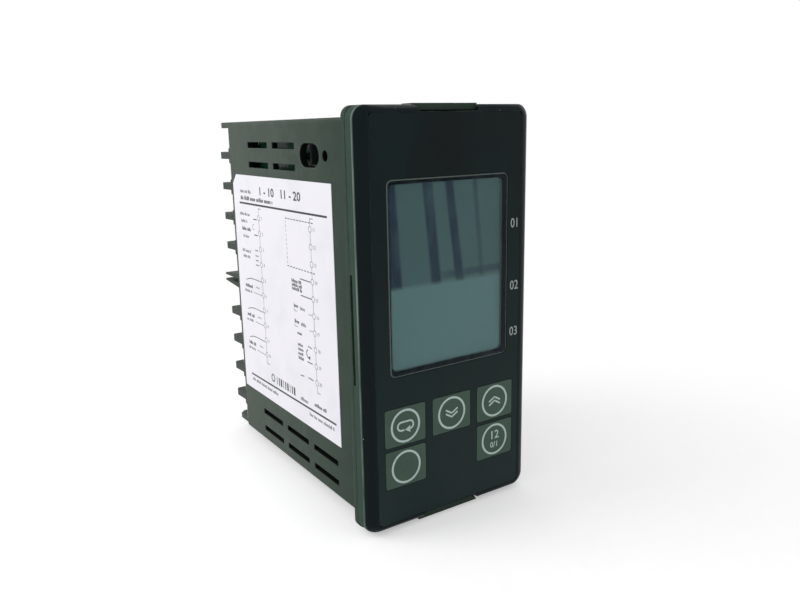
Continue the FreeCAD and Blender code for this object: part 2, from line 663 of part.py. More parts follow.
def build_terminal_plates():
    """Bend the contact plates: clamp plate, tab through the block, arm and fork."""
    outer = size("case_wide") / 2 - size("plate_edge")
    inner = outer - size("plate_wide")
    half = size("plate_tall") / 2
    floor = size("case_deep") + size("floor_deep")
    rear = floor + size("plate_thick")
    plate = span_box((inner, floor, -half), (outer, rear, half))
    bore = Part.makeCylinder(size("screw_radius") + size("fork_gap"), size("plate_thick"),
                             Vector(terminal_axis(), floor, 0), Vector(0, 1, 0))
    half = size("fork_tall") / 2
    arm_back = size("long_board_end") + size("arm_gap") + size("arm_thick")
    arm_front = arm_back - size("arm_thick")
    web = span_box((inner, arm_front, -half), (inner + size("web_thick"), floor, half))
    board_out = size("long_board_x") + size("fork_gap")
    board_in = size("long_board_x") - size("board_thick") - size("fork_gap")
    thick = size("fork_thick")
    arm = span_box((inner, arm_front, -half), (board_out + thick, arm_back, half))
    prong_front = arm_front - size("fork_long")
    near = span_box((board_in - thick, prong_front, -half), (board_in, arm_front, half))
    far = span_box((board_out, prong_front, -half), (board_out + thick, arm_front, half))
    return copy_to_cells("terminal_plates", plate.cut(bore).fuse([web, arm, near, far]).removeSplitter())


def build_terminal_screws():
    """Turn the terminal screws, each with its captive square washer, as they are bought."""
    axis = terminal_axis()
    half = size("washer_side") / 2
    plate = size("case_deep") + size("floor_deep") + size("plate_thick")
    seat = plate + size("washer_thick")
    middle = Vector(axis, seat, 0)
    washer = span_box((axis - half, plate, -half), (axis + half, seat, half))
    head = Part.makeCylinder(size("head_radius"), size("head_tall"), middle, Vector(0, 1, 0))
    shank = Part.makeCylinder(size("screw_radius"), size("screw_long"), middle, Vector(0, -1, 0))
    return copy_to_cells("terminal_screws", washer.fuse([head, shank]).removeSplitter())


def build_side_label():
    """Cut the label on the case's left side, one corner cut off."""
    label = Moulding("side_label")
    outline = label.sketch("label_outline", "side", f"-{CASE_X}")
    rear = "(label_front + label_long)"
    half = "(label_tall / 2)"
    add_polygon(outline, [("label_front", f"-{half}"), (rear, f"-{half}"), (rear, f"{half} - label_cut"),
                          (f"{rear} - label_cut", half), ("label_front", half)])
    label.grow("label", outline, "label_thick", -1)
    return label.body


def cut_crown(panel, name, plane, sign, width):
    """Round one front edge of the bezel: tangent to the front, crisp at the side."""
    whole = "bezel_tall" if plane == "level" else "bezel_wide"
    half = f"({sign} * {'bezel_wide' if plane == 'level' else 'bezel_tall'} / 2)"
    outline = panel.sketch(f"{name}_outline", plane, f"{whole} / 2")
    reach = sign * (size("bezel_wide") if plane == "level" else size("bezel_tall")) / 2
    front = -size("bezel_deep")
    wide = size(width)
    deep = size("crown_deep")
    radius = (wide * wide + deep * deep) / (2 * deep)
    inner = reach - sign * wide

    def spot(across, depth):
        """Give a sketch point: the side sketch has depth first."""
        return Vector(across, depth, 0) if plane == "level" else Vector(depth, across, 0)

    corner = spot(reach, front)
    start = spot(inner, front)
    end = spot(reach, front + deep)
    turn = 0.5 * wide / radius
    middle = spot(inner + sign * radius * turn, front + radius * (1 - (1 - turn * turn) ** 0.5))
    outline.addGeometry(Part.LineSegment(corner, start))
    outline.addGeometry(Part.LineSegment(end, corner))
    arc = outline.addGeometry(Part.Arc(start, middle, end))
    swapped = (outline.getPoint(arc, 1) - start).Length > 1e-6
    outline.addConstraint(Sketcher.Constraint("Coincident", 1, 2, 0, 1))
    outline.addConstraint(Sketcher.Constraint("Coincident", 0, 2, arc, 2 if swapped else 1))
    outline.addConstraint(Sketcher.Constraint("Coincident", 1, 1, arc, 1 if swapped else 2))
    across, along = ("DistanceX", "DistanceY") if plane == "level" else ("DistanceY", "DistanceX")
    constrain(outline, across, (-1, 1, 0, 1), half)
    constrain(outline, along, (-1, 1, 0, 1), FRONT)
    constrain(outline, across, (-1, 1, 0, 2), f"{half} - {sign} * {width}")
    constrain(outline, along, (-1, 1, 0, 2), FRONT)
    constrain(outline, across, (-1, 1, 1, 1), half)
    constrain(outline, along, (-1, 1, 1, 1), f"{FRONT} + crown_deep")
    constrain(outline, "Radius", (arc,), f"({width} * {width} + crown_deep * crown_deep) / (2 * crown_deep)")
    panel.cut(name, outline, whole, -1)


def add_key_outlines(sketch, extra):
    """Add the five key outlines, larger all round by an expression."""
    for column, row in KEYS.values():
        add_rectangle(sketch, f"{column} * key_x_pitch", f"-key_upper - {row} * key_z_pitch",
                      f"key_wide + 2 * {extra}", f"key_tall + 2 * {extra}")


def cut_window(piece, name, start, depth, shrink):
    """Cut a round-cornered window opening into a front piece."""
    wide = f"(window_wide + 2 * window_gap - 2 * {shrink})"
    tall = f"(window_tall + 2 * window_gap - 2 * {shrink})"
    piece.box(name, "0", "window_z", wide, tall, start, depth, grow=False)
    less = 2 * size("window_gap") - (2 * size(shrink) if shrink != "0" else 0)
    half_x = (size("window_wide") + less) / 2
    half_z = (size("window_tall") + less) / 2
    piece.round_edges(f"{name}_corners", "window_corner", corner_test(half_x, half_z, size("window_z")))


def build_front_panel():
    """Mould the bezel: crowned outline, openings, notches, seal groove and skirt."""
    panel = Moulding("front_panel")
    panel.box("slab", "0", "0", "bezel_wide", "bezel_tall", FRONT, f"{PANEL_REAR} - {FRONT}")
    half_x = size("bezel_wide") / 2
    half_z = size("bezel_tall") / 2
    panel.round_edges("outline_corners", "bezel_corner", corner_test(half_x, half_z))
    for sign, side in ((-1, "left"), (1, "right")):
        cut_crown(panel, f"crown_{side}", "level", sign, "crown_flank")
    for sign, end in ((-1, "bottom"), (1, "top")):
        cut_crown(panel, f"crown_{end}", "side", sign, "crown_ends")
    panel.box("skirt", "0", "0", f"2 * {SKIRT_X}", f"2 * {SKIRT_Z}", PANEL_REAR, f"skirt_long - {PANEL_REAR}")
    panel.box("cavity", "0", "0", f"2 * {INSIDE_X}", f"2 * {INSIDE_Z}",
              BACK_OF_SKIN, f"skirt_long - {BACK_OF_SKIN}", grow=False)
    panel.box("sheet_recess", "0", "0", "bezel_wide - 2 * crown_flank - 2 * sheet_edge_gap",
              "bezel_tall - 2 * notch_deep - 4 * sheet_edge_gap", FRONT, "sheet_thick", grow=False)
    cut_window(panel, "window_seat", FRONT, "window_thick", "0")
    cut_window(panel, "window_opening", FRONT, "skin_thick", "ledge")
    keys = panel.sketch("key_outlines", "front", FRONT)
    add_key_outlines(keys, "key_gap")
    panel.cut("key_openings", keys, "skin_thick")
    groove = panel.sketch("groove_outline", "front", PANEL_REAR)
    for extra in ("(seal_inset - seal_gap)", "(seal_inset + seal_thick + seal_gap)"):
        add_rectangle(groove, "0", "0", f"2 * ({SKIRT_X} + {extra})", f"2 * ({SKIRT_Z} + {extra})")
    panel.cut("seal_groove", groove, "seal_thick", -1)
    for name, end, rise in (("top_notch", 1, "tongue_top_rise"), ("bottom_notch", -1, "tongue_bottom_rise")):
        outline = panel.sketch(f"{name}_outline", "front", FRONT)
        floor = f"{end} * (bezel_tall / 2 - notch_deep)"
        edge = f"{end} * (bezel_tall / 2 + {rise})"
        narrow = "(tongue_wide / 2 + notch_gap)"
        wide = "(tongue_wide / 2 + tongue_flare + notch_gap)"
        add_polygon(outline, [(f"-{narrow}", floor), (narrow, floor), (wide, edge), (f"-{wide}", edge)])
        panel.cut(name, outline, "bezel_deep")
    for name, sign in (("left_pry_slot", -1), ("right_pry_slot", 1)):
        outline = panel.sketch(f"{name}_outline", "side", f"{sign} * bezel_wide / 2")
        add_rectangle(outline, f"{PANEL_REAR} - pry_tall / 2", "0", "pry_tall", "pry_long")
        panel.cut(name, outline, "pry_deep", -sign)
    ledges = panel.sketch("ledge_outline", "front", BACK_OF_SKIN)
    noses = panel.sketch("nose_outline", "front", "board_y + board_thick")
    for side in (-1, 1):
        for end in (-1, 1):
            middle = f"{end} * ({INSIDE_Z} - clip_tall / 2)"
            add_rectangle(ledges, f"{side} * clip_x", middle, "clip_wide", "clip_tall")
            add_rectangle(noses, f"{side} * clip_x", middle, "clip_wide", "clip_tall")
    panel.grow("board_ledges", ledges, f"board_y - {BACK_OF_SKIN}")
    panel.grow("board_clips", noses, "clip_thick")
    return panel.body


def build_front_sheet():
    """Punch the printed sheet that covers the bezel's face."""
    sheet = Moulding("front_sheet")
    wide = "(bezel_wide - 2 * crown_flank - 2 * sheet_edge_gap - 2 * sheet_gap)"
    tall = "(bezel_tall - 2 * notch_deep - 4 * sheet_edge_gap - 2 * sheet_gap)"
    sheet.box("sheet", "0", "0", wide, tall, FRONT, "sheet_thick")
    inset = size("crown_flank") + size("sheet_edge_gap") + size("sheet_gap")
    half_x = size("bezel_wide") / 2 - inset
    half_z = size("bezel_tall") / 2 - size("notch_deep") - 2 * size("sheet_edge_gap") - size("sheet_gap")
    sheet.round_edges("sheet_corners", "sheet_corner", corner_test(half_x, half_z))
    cut_window(sheet, "window_cut", FRONT, "sheet_thick", "0")
    keys = sheet.sketch("key_outlines", "front", FRONT)
    add_key_outlines(keys, "key_gap")
    sheet.cut("key_cuts", keys, "sheet_thick")

    def key_corner(edge):
        """Check for the corner edges of the five key openings."""
        spot = edge.CenterOfMass
        below_window = spot.z < size("window_z") - size("window_tall") / 2 - size("window_corner")
        inside = abs(spot.x) < half_x - size("sheet_corner") and abs(spot.z) < half_z - size("sheet_corner")
        return below_window and inside and runs_along(edge, Vector(0, 1, 0))

    sheet.round_edges("key_cut_corners", "key_corner + key_gap", key_corner)
    return sheet.body


def build_display_window():
    """Mould the clear window with its bevelled front edge."""
    window = Moulding("display_window")
    window.box("pane", "0", "window_z", "window_wide", "window_tall", FRONT, "window_thick")
    half_x = size("window_wide") / 2
    half_z = size("window_tall") / 2
    window.round_edges("pane_corners", "window_corner", corner_test(half_x, half_z, size("window_z")))

    def on_front(edge):
        """Check for the edges round the front face."""
        return abs(edge.BoundBox.YMin + size("bezel_deep")) < 1e-3 and edge.BoundBox.YLength < 1e-3

    window.bevel_edges("pane_bevel", "window_bevel", on_front)
    return window.body


def build_front_seal():
    """Mould the square-section ring between the bezel and the case flange."""
    seal = Moulding("front_seal")
    ring = seal.sketch("seal_outline", "front", "-flange_thick - seal_thick")
    for extra in ("seal_inset", "(seal_inset + seal_thick)"):
        add_rectangle(ring, "0", "0", f"2 * ({SKIRT_X} + {extra})", f"2 * ({SKIRT_Z} + {extra})")
    seal.grow("ring", ring, "seal_thick")
    return seal.body


def place_key_part(item, column, row):
    """Move a key or a switch button from the middle to its place on the front."""
    follow(item, "Placement.Base.x", f"{column} * key_x_pitch")
    follow(item, "Placement.Base.z", f"-key_upper - {row} * key_z_pitch")


def build_key(name, column, row):
    """Mould one key: cap, holding rim above and below, and stem."""
    key = Moulding(f"{name}_key")
    cap_front = f"({FRONT} - key_proud)"
    rim_back = f"({BACK_OF_SKIN} + key_free + key_rim_thick)"
    key.box("cap", "0", "0", "key_wide", "key_tall", cap_front, f"{rim_back} - {cap_front}")
    key.round_edges("cap_corners", "key_corner", corner_test(size("key_wide") / 2, size("key_tall") / 2))
    key.box("rim", "0", "0", "key_wide", "key_tall + 2 * key_rim",
            f"{BACK_OF_SKIN} + key_free", "key_rim_thick")
    key.box("stem", "0", "0", "stem_side", "stem_side",
            rim_back, f"board_y - switch_tall - button_tall - key_free - {rim_back}")
    place_key_part(key.body, column, row)
    return key.body


def build_button(name, column, row):
    """Turn the round button of one switch."""
    button = Moulding(f"{name}_button")
    outline = button.sketch("button_outline", "front", "board_y - switch_tall - button_tall")
    add_circle(outline, "0", "0", "button_radius")
    button.grow("button", outline, "button_tall + button_sunk")
    place_key_part(button.body, column, row)
    return button.body


def build_switch_bodies():
    """Mould the five switch housings on the display board, each with its button well."""
    housings = []
    for name, (column, row) in KEYS.items():
        across = f"{column} * key_x_pitch"
        up = f"(-key_upper - {row} * key_z_pitch)"
        block = add_box(f"{name}_housing", (across, "(board_y - switch_tall / 2)", up),
                        ("switch_side", "switch_tall", "switch_side"))
        well = add_cylinder(f"{name}_well", (across, "board_y - switch_tall", up),
                            "button_radius + button_gap", "button_sunk + button_travel", Vector(0, 1, 0))
        housings.append(add_cut(f"{name}_switch", block, well))
    return add_group("switch_bodies", housings)


def build_display():
    """Build the display stack: cell, frame, contact strips, light guide and lamps."""
    cell = add_box("lcd_cell", ("0", f"({GLASS_Y} + glass_thick / 2)", "window_z"),
                   ("glass_wide", "glass_thick", "glass_tall"))
    frame = Moulding("lcd_frame")
    frame.box("surround", "0", "window_z", "frame_wide", "frame_tall", GLASS_Y, f"board_y - {GLASS_Y}")
    frame.box("cell_seat", "0", "window_z", "glass_wide + 2 * glass_gap", "glass_tall + 2 * glass_gap",
              GLASS_Y, "glass_thick + glass_gap", grow=False)
    frame.box("guide_seat", "0", "window_z", "guide_wide + 2 * glass_gap", "guide_tall + 2 * glass_gap",
              GLASS_Y, f"board_y - {GLASS_Y}", grow=False)
    strip_z = "(glass_tall / 2 - strip_thick / 2 - glass_gap)"
    slots = frame.sketch("strip_outline", "front", GLASS_Y)
    strips = []
    for end, name in ((-1, "lower"), (1, "upper")):
        up = f"(window_z + {end} * {strip_z})"
        add_rectangle(slots, "0", up, "strip_wide + 2 * glass_gap", "strip_thick + 2 * glass_gap")
        low = f"({GLASS_Y} + glass_thick)"
        strips.append(add_box(f"{name}_strip", ("0", f"({low} + board_y) / 2", up),
                              ("strip_wide", f"board_y - {low}", "strip_thick")))
    frame.cut("strip_slots", slots, f"board_y - {GLASS_Y}")
    guide_y = f"({GLASS_Y} + glass_thick + glass_gap + guide_thick / 2)"
    guide = add_box("light_guide", ("0", guide_y, "window_z"), ("guide_wide", "guide_thick", "guide_tall"))
    lamps = []
    for column in (-1, 0, 1):
        for row in (-1, 1):
            centre = (f"{column} * led_pitch", "(board_y - led_deep / 2)", f"(window_z + {row} * led_pitch)")
            lamps.append(add_box("lamp", centre, ("led_side", "led_deep", "led_side")))
    contacts = add_group("lcd_contact_strips", strips)
    return [cell, frame.body, contacts, guide, add_group("backlight_leds", lamps)]


def build_boards():
    """Build the display board, the two long boards and what ties them together."""
    display = add_box("display_board", ("0", "(board_y + board_thick / 2)", "0"),
                      (f"2 * ({INSIDE_X} - board_inset)", "board_thick", f"2 * ({INSIDE_Z} - board_inset)"))
    long_middle = "((long_board_start + long_board_end) / 2)"
    sides = ("board_thick", "long_board_end - long_board_start", "long_board_tall")
    across = "(long_board_x - board_thick / 2)"
    blank = add_box("power_board_blank", (f"-{across}", long_middle, "0"), sides)
    slot = add_box("power_board_slot", (f"-{across}", "port_y", "port_z"),
                   ("board_thick", "socket_long + 2 * socket_gap", "socket_tall + 2 * socket_gap"))
    power = add_cut("power_board", blank, slot)
    io_board = add_box("io_board", (across, long_middle, "0"), sides)
    headers = []
    for side in (-1, 1):
        header_x = f"{side} * ({LONG_BOARD_IN} - header_wide / 2)"
        headers.append(add_box("header", (header_x, "(board_y + board_thick + header_deep / 2)", "0"),
                               ("header_wide", "header_deep", "header_tall")))
    brace = add_box("board_brace", ("0", "brace_y", "0"),
                    (f"2 * {LONG_BOARD_IN}", "brace_deep", "brace_tall"))
    chip = add_box("microcontroller", ("0", "(board_y + board_thick + chip_thick / 2)", "0"),
                   ("chip_side", "chip_thick", "chip_side"))
    return [display, power, io_board, add_group("board_headers", headers), brace, chip]


def build_supply():
    """Build the parts on the left long board: transformer, capacitors, choke and heat sink."""
    face = f"(-{LONG_BOARD_IN})"
    core_x = f"({face} + core_wide / 2)"
    shell = add_box("core_shell", (core_x, "core_y", "core_z"), ("core_wide", "core_deep", "core_tall"))
    opening = add_box("core_opening", (core_x, "core_y", "core_z"),
                      ("core_wide - 2 * core_limb", "core_deep", "core_tall - 2 * core_limb"))
    core = add_cut("transformer_core", shell, opening)
    coil = add_box("transformer_coil", (core_x, "core_y", "core_z"),
                   ("core_wide - 2 * core_limb - 2 * coil_gap", "coil_deep",
                    "core_tall - 2 * core_limb - 2 * coil_gap"))
    cans = [add_cylinder("can", (face, "can_y", f"can_z + {step} * can_pitch"), "can_radius", "can_long",
                         Vector(1, 0, 0)) for step in range(2)]
    foot = (face, "can_y", "choke_z")
    ring = add_cylinder("choke_ring", foot, "choke_radius", "choke_thick", Vector(1, 0, 0))
    bore = add_cylinder("choke_bore", foot, "choke_bore", "choke_thick", Vector(1, 0, 0))
    fins = [add_box("fin", (f"({face} + sink_wide / 2)", f"(sink_y + {step} * sink_pitch)", "sink_z"),
                    ("sink_wide", "sink_thick", "sink_tall")) for step in range(4)]
    plate = add_box("sink_plate", (f"({face} + sink_thick / 2)", "(sink_y + 1.5 * sink_pitch)", "sink_z"),
                    ("sink_thick", "3 * sink_pitch + sink_thick", "sink_tall"))
    return [core, coil, add_group("power_capacitors", cans), add_cut("noise_choke", ring, bore),
            add_group("heat_sink", [plate] + fins, "Part::MultiFuse")]


def build_outputs():
    """Build the parts on the right long board: two relays and four chips."""
    relays = [add_box("relay", (f"({LONG_BOARD_IN} - relay_wide / 2)", "relay_y", f"{end} * relay_pitch / 2"),
                      ("relay_wide", "relay_deep", "relay_tall")) for end in (-1, 1)]
    across = f"({LONG_BOARD_IN} - optic_wide / 2)"
    chips = [add_box("optic", (across, "core_y", f"({step} - 1.5) * optic_pitch"),
                     ("optic_wide", "optic_side", "optic_side")) for step in range(4)]
    return [add_group("output_relays", relays), add_group("io_chips", chips)]


def build_setup_port():
    """Build the socket of the setup port, through its board, and its four pins."""
    outer = "(-long_board_x - socket_reach)"
    shell = add_box("socket_shell", (f"({outer} + socket_deep / 2)", "port_y", "port_z"),
                    ("socket_deep", "socket_long", "socket_tall"))
    hollow = "(socket_deep - socket_floor)"
    cavity = add_box("socket_cavity", (f"({outer} + {hollow} / 2)", "port_y", "port_z"),
                     (hollow, "socket_long - 2 * socket_wall", "socket_tall - 2 * socket_wall"))
    pins = [add_box("pin", (f"({outer} + {hollow} - socket_pin_long / 2)",
                            f"(port_y + ({step} - 1.5) * socket_pin_pitch)", "port_z"),
                    ("socket_pin_long", "socket_pin", "socket_pin")) for step in range(4)]
    return [add_cut("setup_socket", shell, cavity), add_group("setup_pins", pins)]


def check_document(pieces):
    """Stop if any object failed or any sub-part has no sound shape."""
    for item in DOC.Objects:
        if {"Invalid", "Error"} & set(item.State):
            raise RuntimeError(f"{item.Label} did not build: {item.State}")
    for piece in pieces:
        if piece.Shape.isNull() or not piece.Shape.isValid():
            raise RuntimeError(f"{piece.Label} has no sound shape")


def build_controller():
    """Build every sub-part and return them in order, case first."""
    lower = build_terminal_block("terminal_block_lower")
    lower.Placement = FreeCAD.Placement(Vector(0, 0, 0), FreeCAD.Rotation(Vector(0, 1, 0), 180))
    pieces = [build_rear_case(), build_terminal_block("terminal_block_upper"), lower]
    pieces += [build_terminal_plates(), build_terminal_screws(), build_side_label()]
    pieces += [build_front_panel(), build_front_sheet(), build_display_window(), build_front_seal()]
    pieces += build_display() + build_boards() + build_supply() + build_outputs() + build_setup_port()
    pieces.append(build_switch_bodies())
    for name, (column, row) in KEYS.items():
        pieces.append(build_key(name, column, row))
        pieces.append(build_button(name, column, row))
    DOC.recompute()
    return pieces


def main():
    """Fill the sheet, build the controller and write one STEP file a sub-part."""
    fill_sheet()
    pieces = build_controller()
    check_document(pieces)
    os.makedirs("parts", exist_ok=True)
    for piece in pieces:
        piece.Shape.exportStep(f"parts/{piece.Label}.step")
        print(f"{piece.Label}: {piece.Shape.Volume:.1f} mm3, {len(piece.Shape.Solids)} solid(s)")


main()
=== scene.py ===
"""Dress a 48 x 96 mm panel-mount temperature controller: finishes, print, fine parts, studio and camera."""

import logging
import math
import random
from collections.abc import Callable
from dataclasses import dataclass
from enum import Enum

import bmesh
import bpy
from bmesh.types import BMesh, BMFace, BMVert
from bpy.types import Material, Mesh, Node, NodeSocket, NodeTree, Object, Scene
from mathutils import Matrix, Vector


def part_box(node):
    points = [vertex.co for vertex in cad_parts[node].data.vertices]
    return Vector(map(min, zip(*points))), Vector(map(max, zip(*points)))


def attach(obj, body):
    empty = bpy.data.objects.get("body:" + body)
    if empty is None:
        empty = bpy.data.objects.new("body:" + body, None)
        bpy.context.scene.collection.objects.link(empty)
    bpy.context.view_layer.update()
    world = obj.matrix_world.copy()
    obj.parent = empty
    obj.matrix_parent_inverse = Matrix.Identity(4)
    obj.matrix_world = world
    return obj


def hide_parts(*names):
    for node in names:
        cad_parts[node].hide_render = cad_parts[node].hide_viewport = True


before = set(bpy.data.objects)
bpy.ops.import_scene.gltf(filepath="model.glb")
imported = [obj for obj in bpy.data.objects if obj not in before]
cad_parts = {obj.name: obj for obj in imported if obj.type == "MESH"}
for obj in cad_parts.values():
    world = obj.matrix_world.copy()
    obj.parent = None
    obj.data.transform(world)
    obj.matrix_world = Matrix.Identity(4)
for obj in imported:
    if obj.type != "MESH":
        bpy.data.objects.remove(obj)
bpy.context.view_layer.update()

Pair = tuple[float, float]
Triple = tuple[float, float, float]

LOG = logging.getLogger("controller")
MM = 0.001
# Corners of a mesh that lie nearer than this, in metres, are one corner.
TOUCHING = 1e-7
# Faces that turn less than this against each other, in radians, are one flat face.
FLAT = 0.008
# Edges that turn less than this against each other, in radians, are one straight edge.
STRAIGHT = 0.001
# Edges whose faces turn more than this are bevelled.
BEVELLED = math.radians(40)
# Edges whose faces turn more than this stay sharp to the shading.
SHARP = math.radians(32)


# ---------------------------------------------------------------- colours, nodes and layers


class Axis(Enum):
    """An axis of the object's frame, by the letter that a node's outputs call it."""

    X = "X"
    Y = "Y"
    Z = "Z"


def linear(code: str) -> tuple[float, float, float, float]:
    """Turn an sRGB hex colour into linear light.

    Args:
        code: six hex digits, such as "545c55".

    Returns:
        Red, green, blue and an alpha of 1.
    """
    parts = [int(code[at:at + 2], 16) / 255 for at in (0, 2, 4)]
    light = [part / 12.92 if part <= 0.04045 else ((part + 0.055) / 1.055) ** 2.4 for part in parts]
    return light[0], light[1], light[2], 1.0


def per_metre(spacing_mm: float) -> float:
    """Give the texture scale at which features lie this many millimetres apart."""
    return 1 / (spacing_mm * MM)


def add_node(tree: NodeTree, kind: str, settings: dict, inputs: dict) -> Node:
    """Add one node with its settings and links.

    Args:
        tree: the node tree of a material or the world.
        kind: the node's type name.
        settings: properties of the node itself.
        inputs: by name or number, a source socket to link, a hex colour or a value.

    Returns:
        The new node.
    """
    made = tree.nodes.new(kind)
    for name, value in settings.items():
        setattr(made, name, value)
    for name, value in inputs.items():
        if isinstance(value, NodeSocket):
            tree.links.new(value, made.inputs[name])
        else:
            made.inputs[name].default_value = linear(value) if isinstance(value, str) else value
    return made


class Layers:
    """A material built up in layers on object coordinates, each laid where a mask says."""

    def __init__(self, name: str, colour: str, roughness: float, constants: dict) -> None:
        """Start from a bare shader.

        Args:
            name: the material's name.
            colour: hex colour of the ground.
            roughness: roughness of the ground.
            constants: values set on the shader's own sockets.
        """
        self.material = bpy.data.materials.new(name)
        self.material.use_nodes = True
        self.tree = self.material.node_tree
        self.tree.nodes.clear()
        self.shader = add_node(self.tree, "ShaderNodeBsdfPrincipled", {}, constants)
        add_node(self.tree, "ShaderNodeOutputMaterial", {}, {"Surface": self.shader.outputs[0]})
        self.place = add_node(self.tree, "ShaderNodeTexCoord", {}, {}).outputs["Object"]
        self.colour = colour
        self.roughness = roughness

    def cloud(self, spacing_mm: float, low: float = 0.35, high: float = 0.65,
              stretch: Triple = (1, 1, 1), octaves: float = 3.0) -> NodeSocket:
        """Make a mask of soft noise.

        Args:
            spacing_mm: distance between its features.
            low: noise value at which the mask starts.
            high: noise value at which it is full.
            stretch: scale along each axis, for drawn-out grain.
            octaves: octaves of finer noise.

        Returns:
            The mask, 0 to 1.
        """
        turned = add_node(self.tree, "ShaderNodeMapping", {}, {"Vector": self.place, "Scale": stretch})
        noise = add_node(self.tree, "ShaderNodeTexNoise", {}, {
            "Vector": turned.outputs[0], "Scale": per_metre(spacing_mm), "Detail": octaves,
            "Roughness": 0.6})
        return add_node(self.tree, "ShaderNodeMapRange", {}, {
            "Value": noise.outputs["Fac"], "From Min": low, "From Max": high}).outputs[0]

    def specks(self, spacing_mm: float, radius_mm: float, share: float) -> NodeSocket:
        """Make a mask of scattered round specks.

        Args:
            spacing_mm: distance between the places a speck can take.
            radius_mm: radius of a speck.
            share: part of those places that hold one.

        Returns:
            The mask, 1 inside a speck.
        """
        cells = add_node(self.tree, "ShaderNodeTexVoronoi", {}, {
            "Vector": self.place, "Scale": per_metre(spacing_mm)})
        reach = radius_mm / spacing_mm
        solid = 0.7 * reach
        near = add_node(self.tree, "ShaderNodeMapRange", {}, {
            "Value": cells.outputs["Distance"], "From Min": reach, "From Max": solid})
        lot = add_node(self.tree, "ShaderNodeSeparateColor", {}, {0: cells.outputs["Color"]})
        drawn = add_node(self.tree, "ShaderNodeMath", {"operation": "LESS_THAN"}, {
            0: lot.outputs[0], 1: share})
        return add_node(self.tree, "ShaderNodeMath", {"operation": "MULTIPLY"}, {
            0: near.outputs[0], 1: drawn.outputs[0]}).outputs[0]

    def rubbed(self, radius_mm: float, patch_mm: float) -> NodeSocket:
        """Make a mask of edges rubbed in patches.

        Args:
            radius_mm: how far the wear reaches from an edge.
            patch_mm: size of the patches.

        Returns:
            The mask, 1 on a bare edge.
        """
        # A rounded normal agrees fully with the plain one on a flat face, and less the nearer an edge is.
        worn_from, worn_bare = 0.985, 0.8
        rounded = add_node(self.tree, "ShaderNodeBevel", {"samples": 4}, {"Radius": radius_mm * MM})
        plain = add_node(self.tree, "ShaderNodeNewGeometry", {}, {})
        alike = add_node(self.tree, "ShaderNodeVectorMath", {"operation": "DOT_PRODUCT"}, {
            0: rounded.outputs[0], 1: plain.outputs["Normal"]})
        near = add_node(self.tree, "ShaderNodeMapRange", {}, {
            "Value": alike.outputs["Value"], "From Min": worn_from, "From Max": worn_bare})
        return add_node(self.tree, "ShaderNodeMath", {"operation": "MULTIPLY"}, {
            0: near.outputs[0], 1: self.cloud(patch_mm, 0.42, 0.62, octaves=5)}).outputs[0]

    def ramp(self, axis: Axis, start_mm: float, end_mm: float) -> NodeSocket:
        """Make a mask that goes from 0 to 1 along an axis.

        Args:
            axis: the axis.
            start_mm: place where it is 0.
            end_mm: place where it is 1.

        Returns:
            The mask.
        """
        parts = add_node(self.tree, "ShaderNodeSeparateXYZ", {}, {0: self.place})
        return add_node(self.tree, "ShaderNodeMapRange", {}, {
            "Value": parts.outputs[axis.value], "From Min": start_mm * MM,
            "From Max": end_mm * MM}).outputs[0]

    def stripes(self, axis: Axis, pitch_mm: float, share: float) -> NodeSocket:
        """Make a mask of even stripes across an axis.

        Args:
            axis: the axis they lie across.
            pitch_mm: distance from one stripe to the next.
            share: part of the pitch that a stripe takes.

        Returns:
            The mask, 1 on a stripe.
        """
        soft = 0.04
        parts = add_node(self.tree, "ShaderNodeSeparateXYZ", {}, {0: self.place})
        turns = add_node(self.tree, "ShaderNodeMath", {"operation": "MULTIPLY"}, {
            0: parts.outputs[axis.value], 1: per_metre(pitch_mm)})
        saw = add_node(self.tree, "ShaderNodeMath", {"operation": "PINGPONG"}, {0: turns.outputs[0], 1: 0.5})
        return add_node(self.tree, "ShaderNodeMapRange", {}, {
            "Value": saw.outputs[0], "From Min": share / 2 + soft, "From Max": share / 2 - soft}).outputs[0]

    def band(self, axis: Axis, middle_mm: float, half_mm: float, soft_mm: float,
             lean: float = 0.0) -> NodeSocket:
        """Make a mask of one soft-edged band.

        Args:
            axis: the axis it lies across.
            middle_mm: place of its middle at height 0.
            half_mm: half its full width.
            soft_mm: width over which each side fades.
            lean: how far its middle moves for each millimetre of height.

        Returns:
            The mask.
        """
        parts = add_node(self.tree, "ShaderNodeSeparateXYZ", {}, {0: self.place})
        straight = parts.outputs[axis.value]
        if lean:
            straight = add_node(self.tree, "ShaderNodeMath", {"operation": "MULTIPLY_ADD"}, {
                0: parts.outputs["Z"], 1: -lean, 2: straight}).outputs[0]
        off = add_node(self.tree, "ShaderNodeMath", {"operation": "SUBTRACT"}, {
            0: straight, 1: middle_mm * MM})
        away = add_node(self.tree, "ShaderNodeMath", {"operation": "ABSOLUTE"}, {0: off.outputs[0]})
        return add_node(self.tree, "ShaderNodeMapRange", {"interpolation_type": "SMOOTHSTEP"}, {
            "Value": away.outputs[0], "From Min": (half_mm + soft_mm) * MM,
            "From Max": half_mm * MM}).outputs[0]

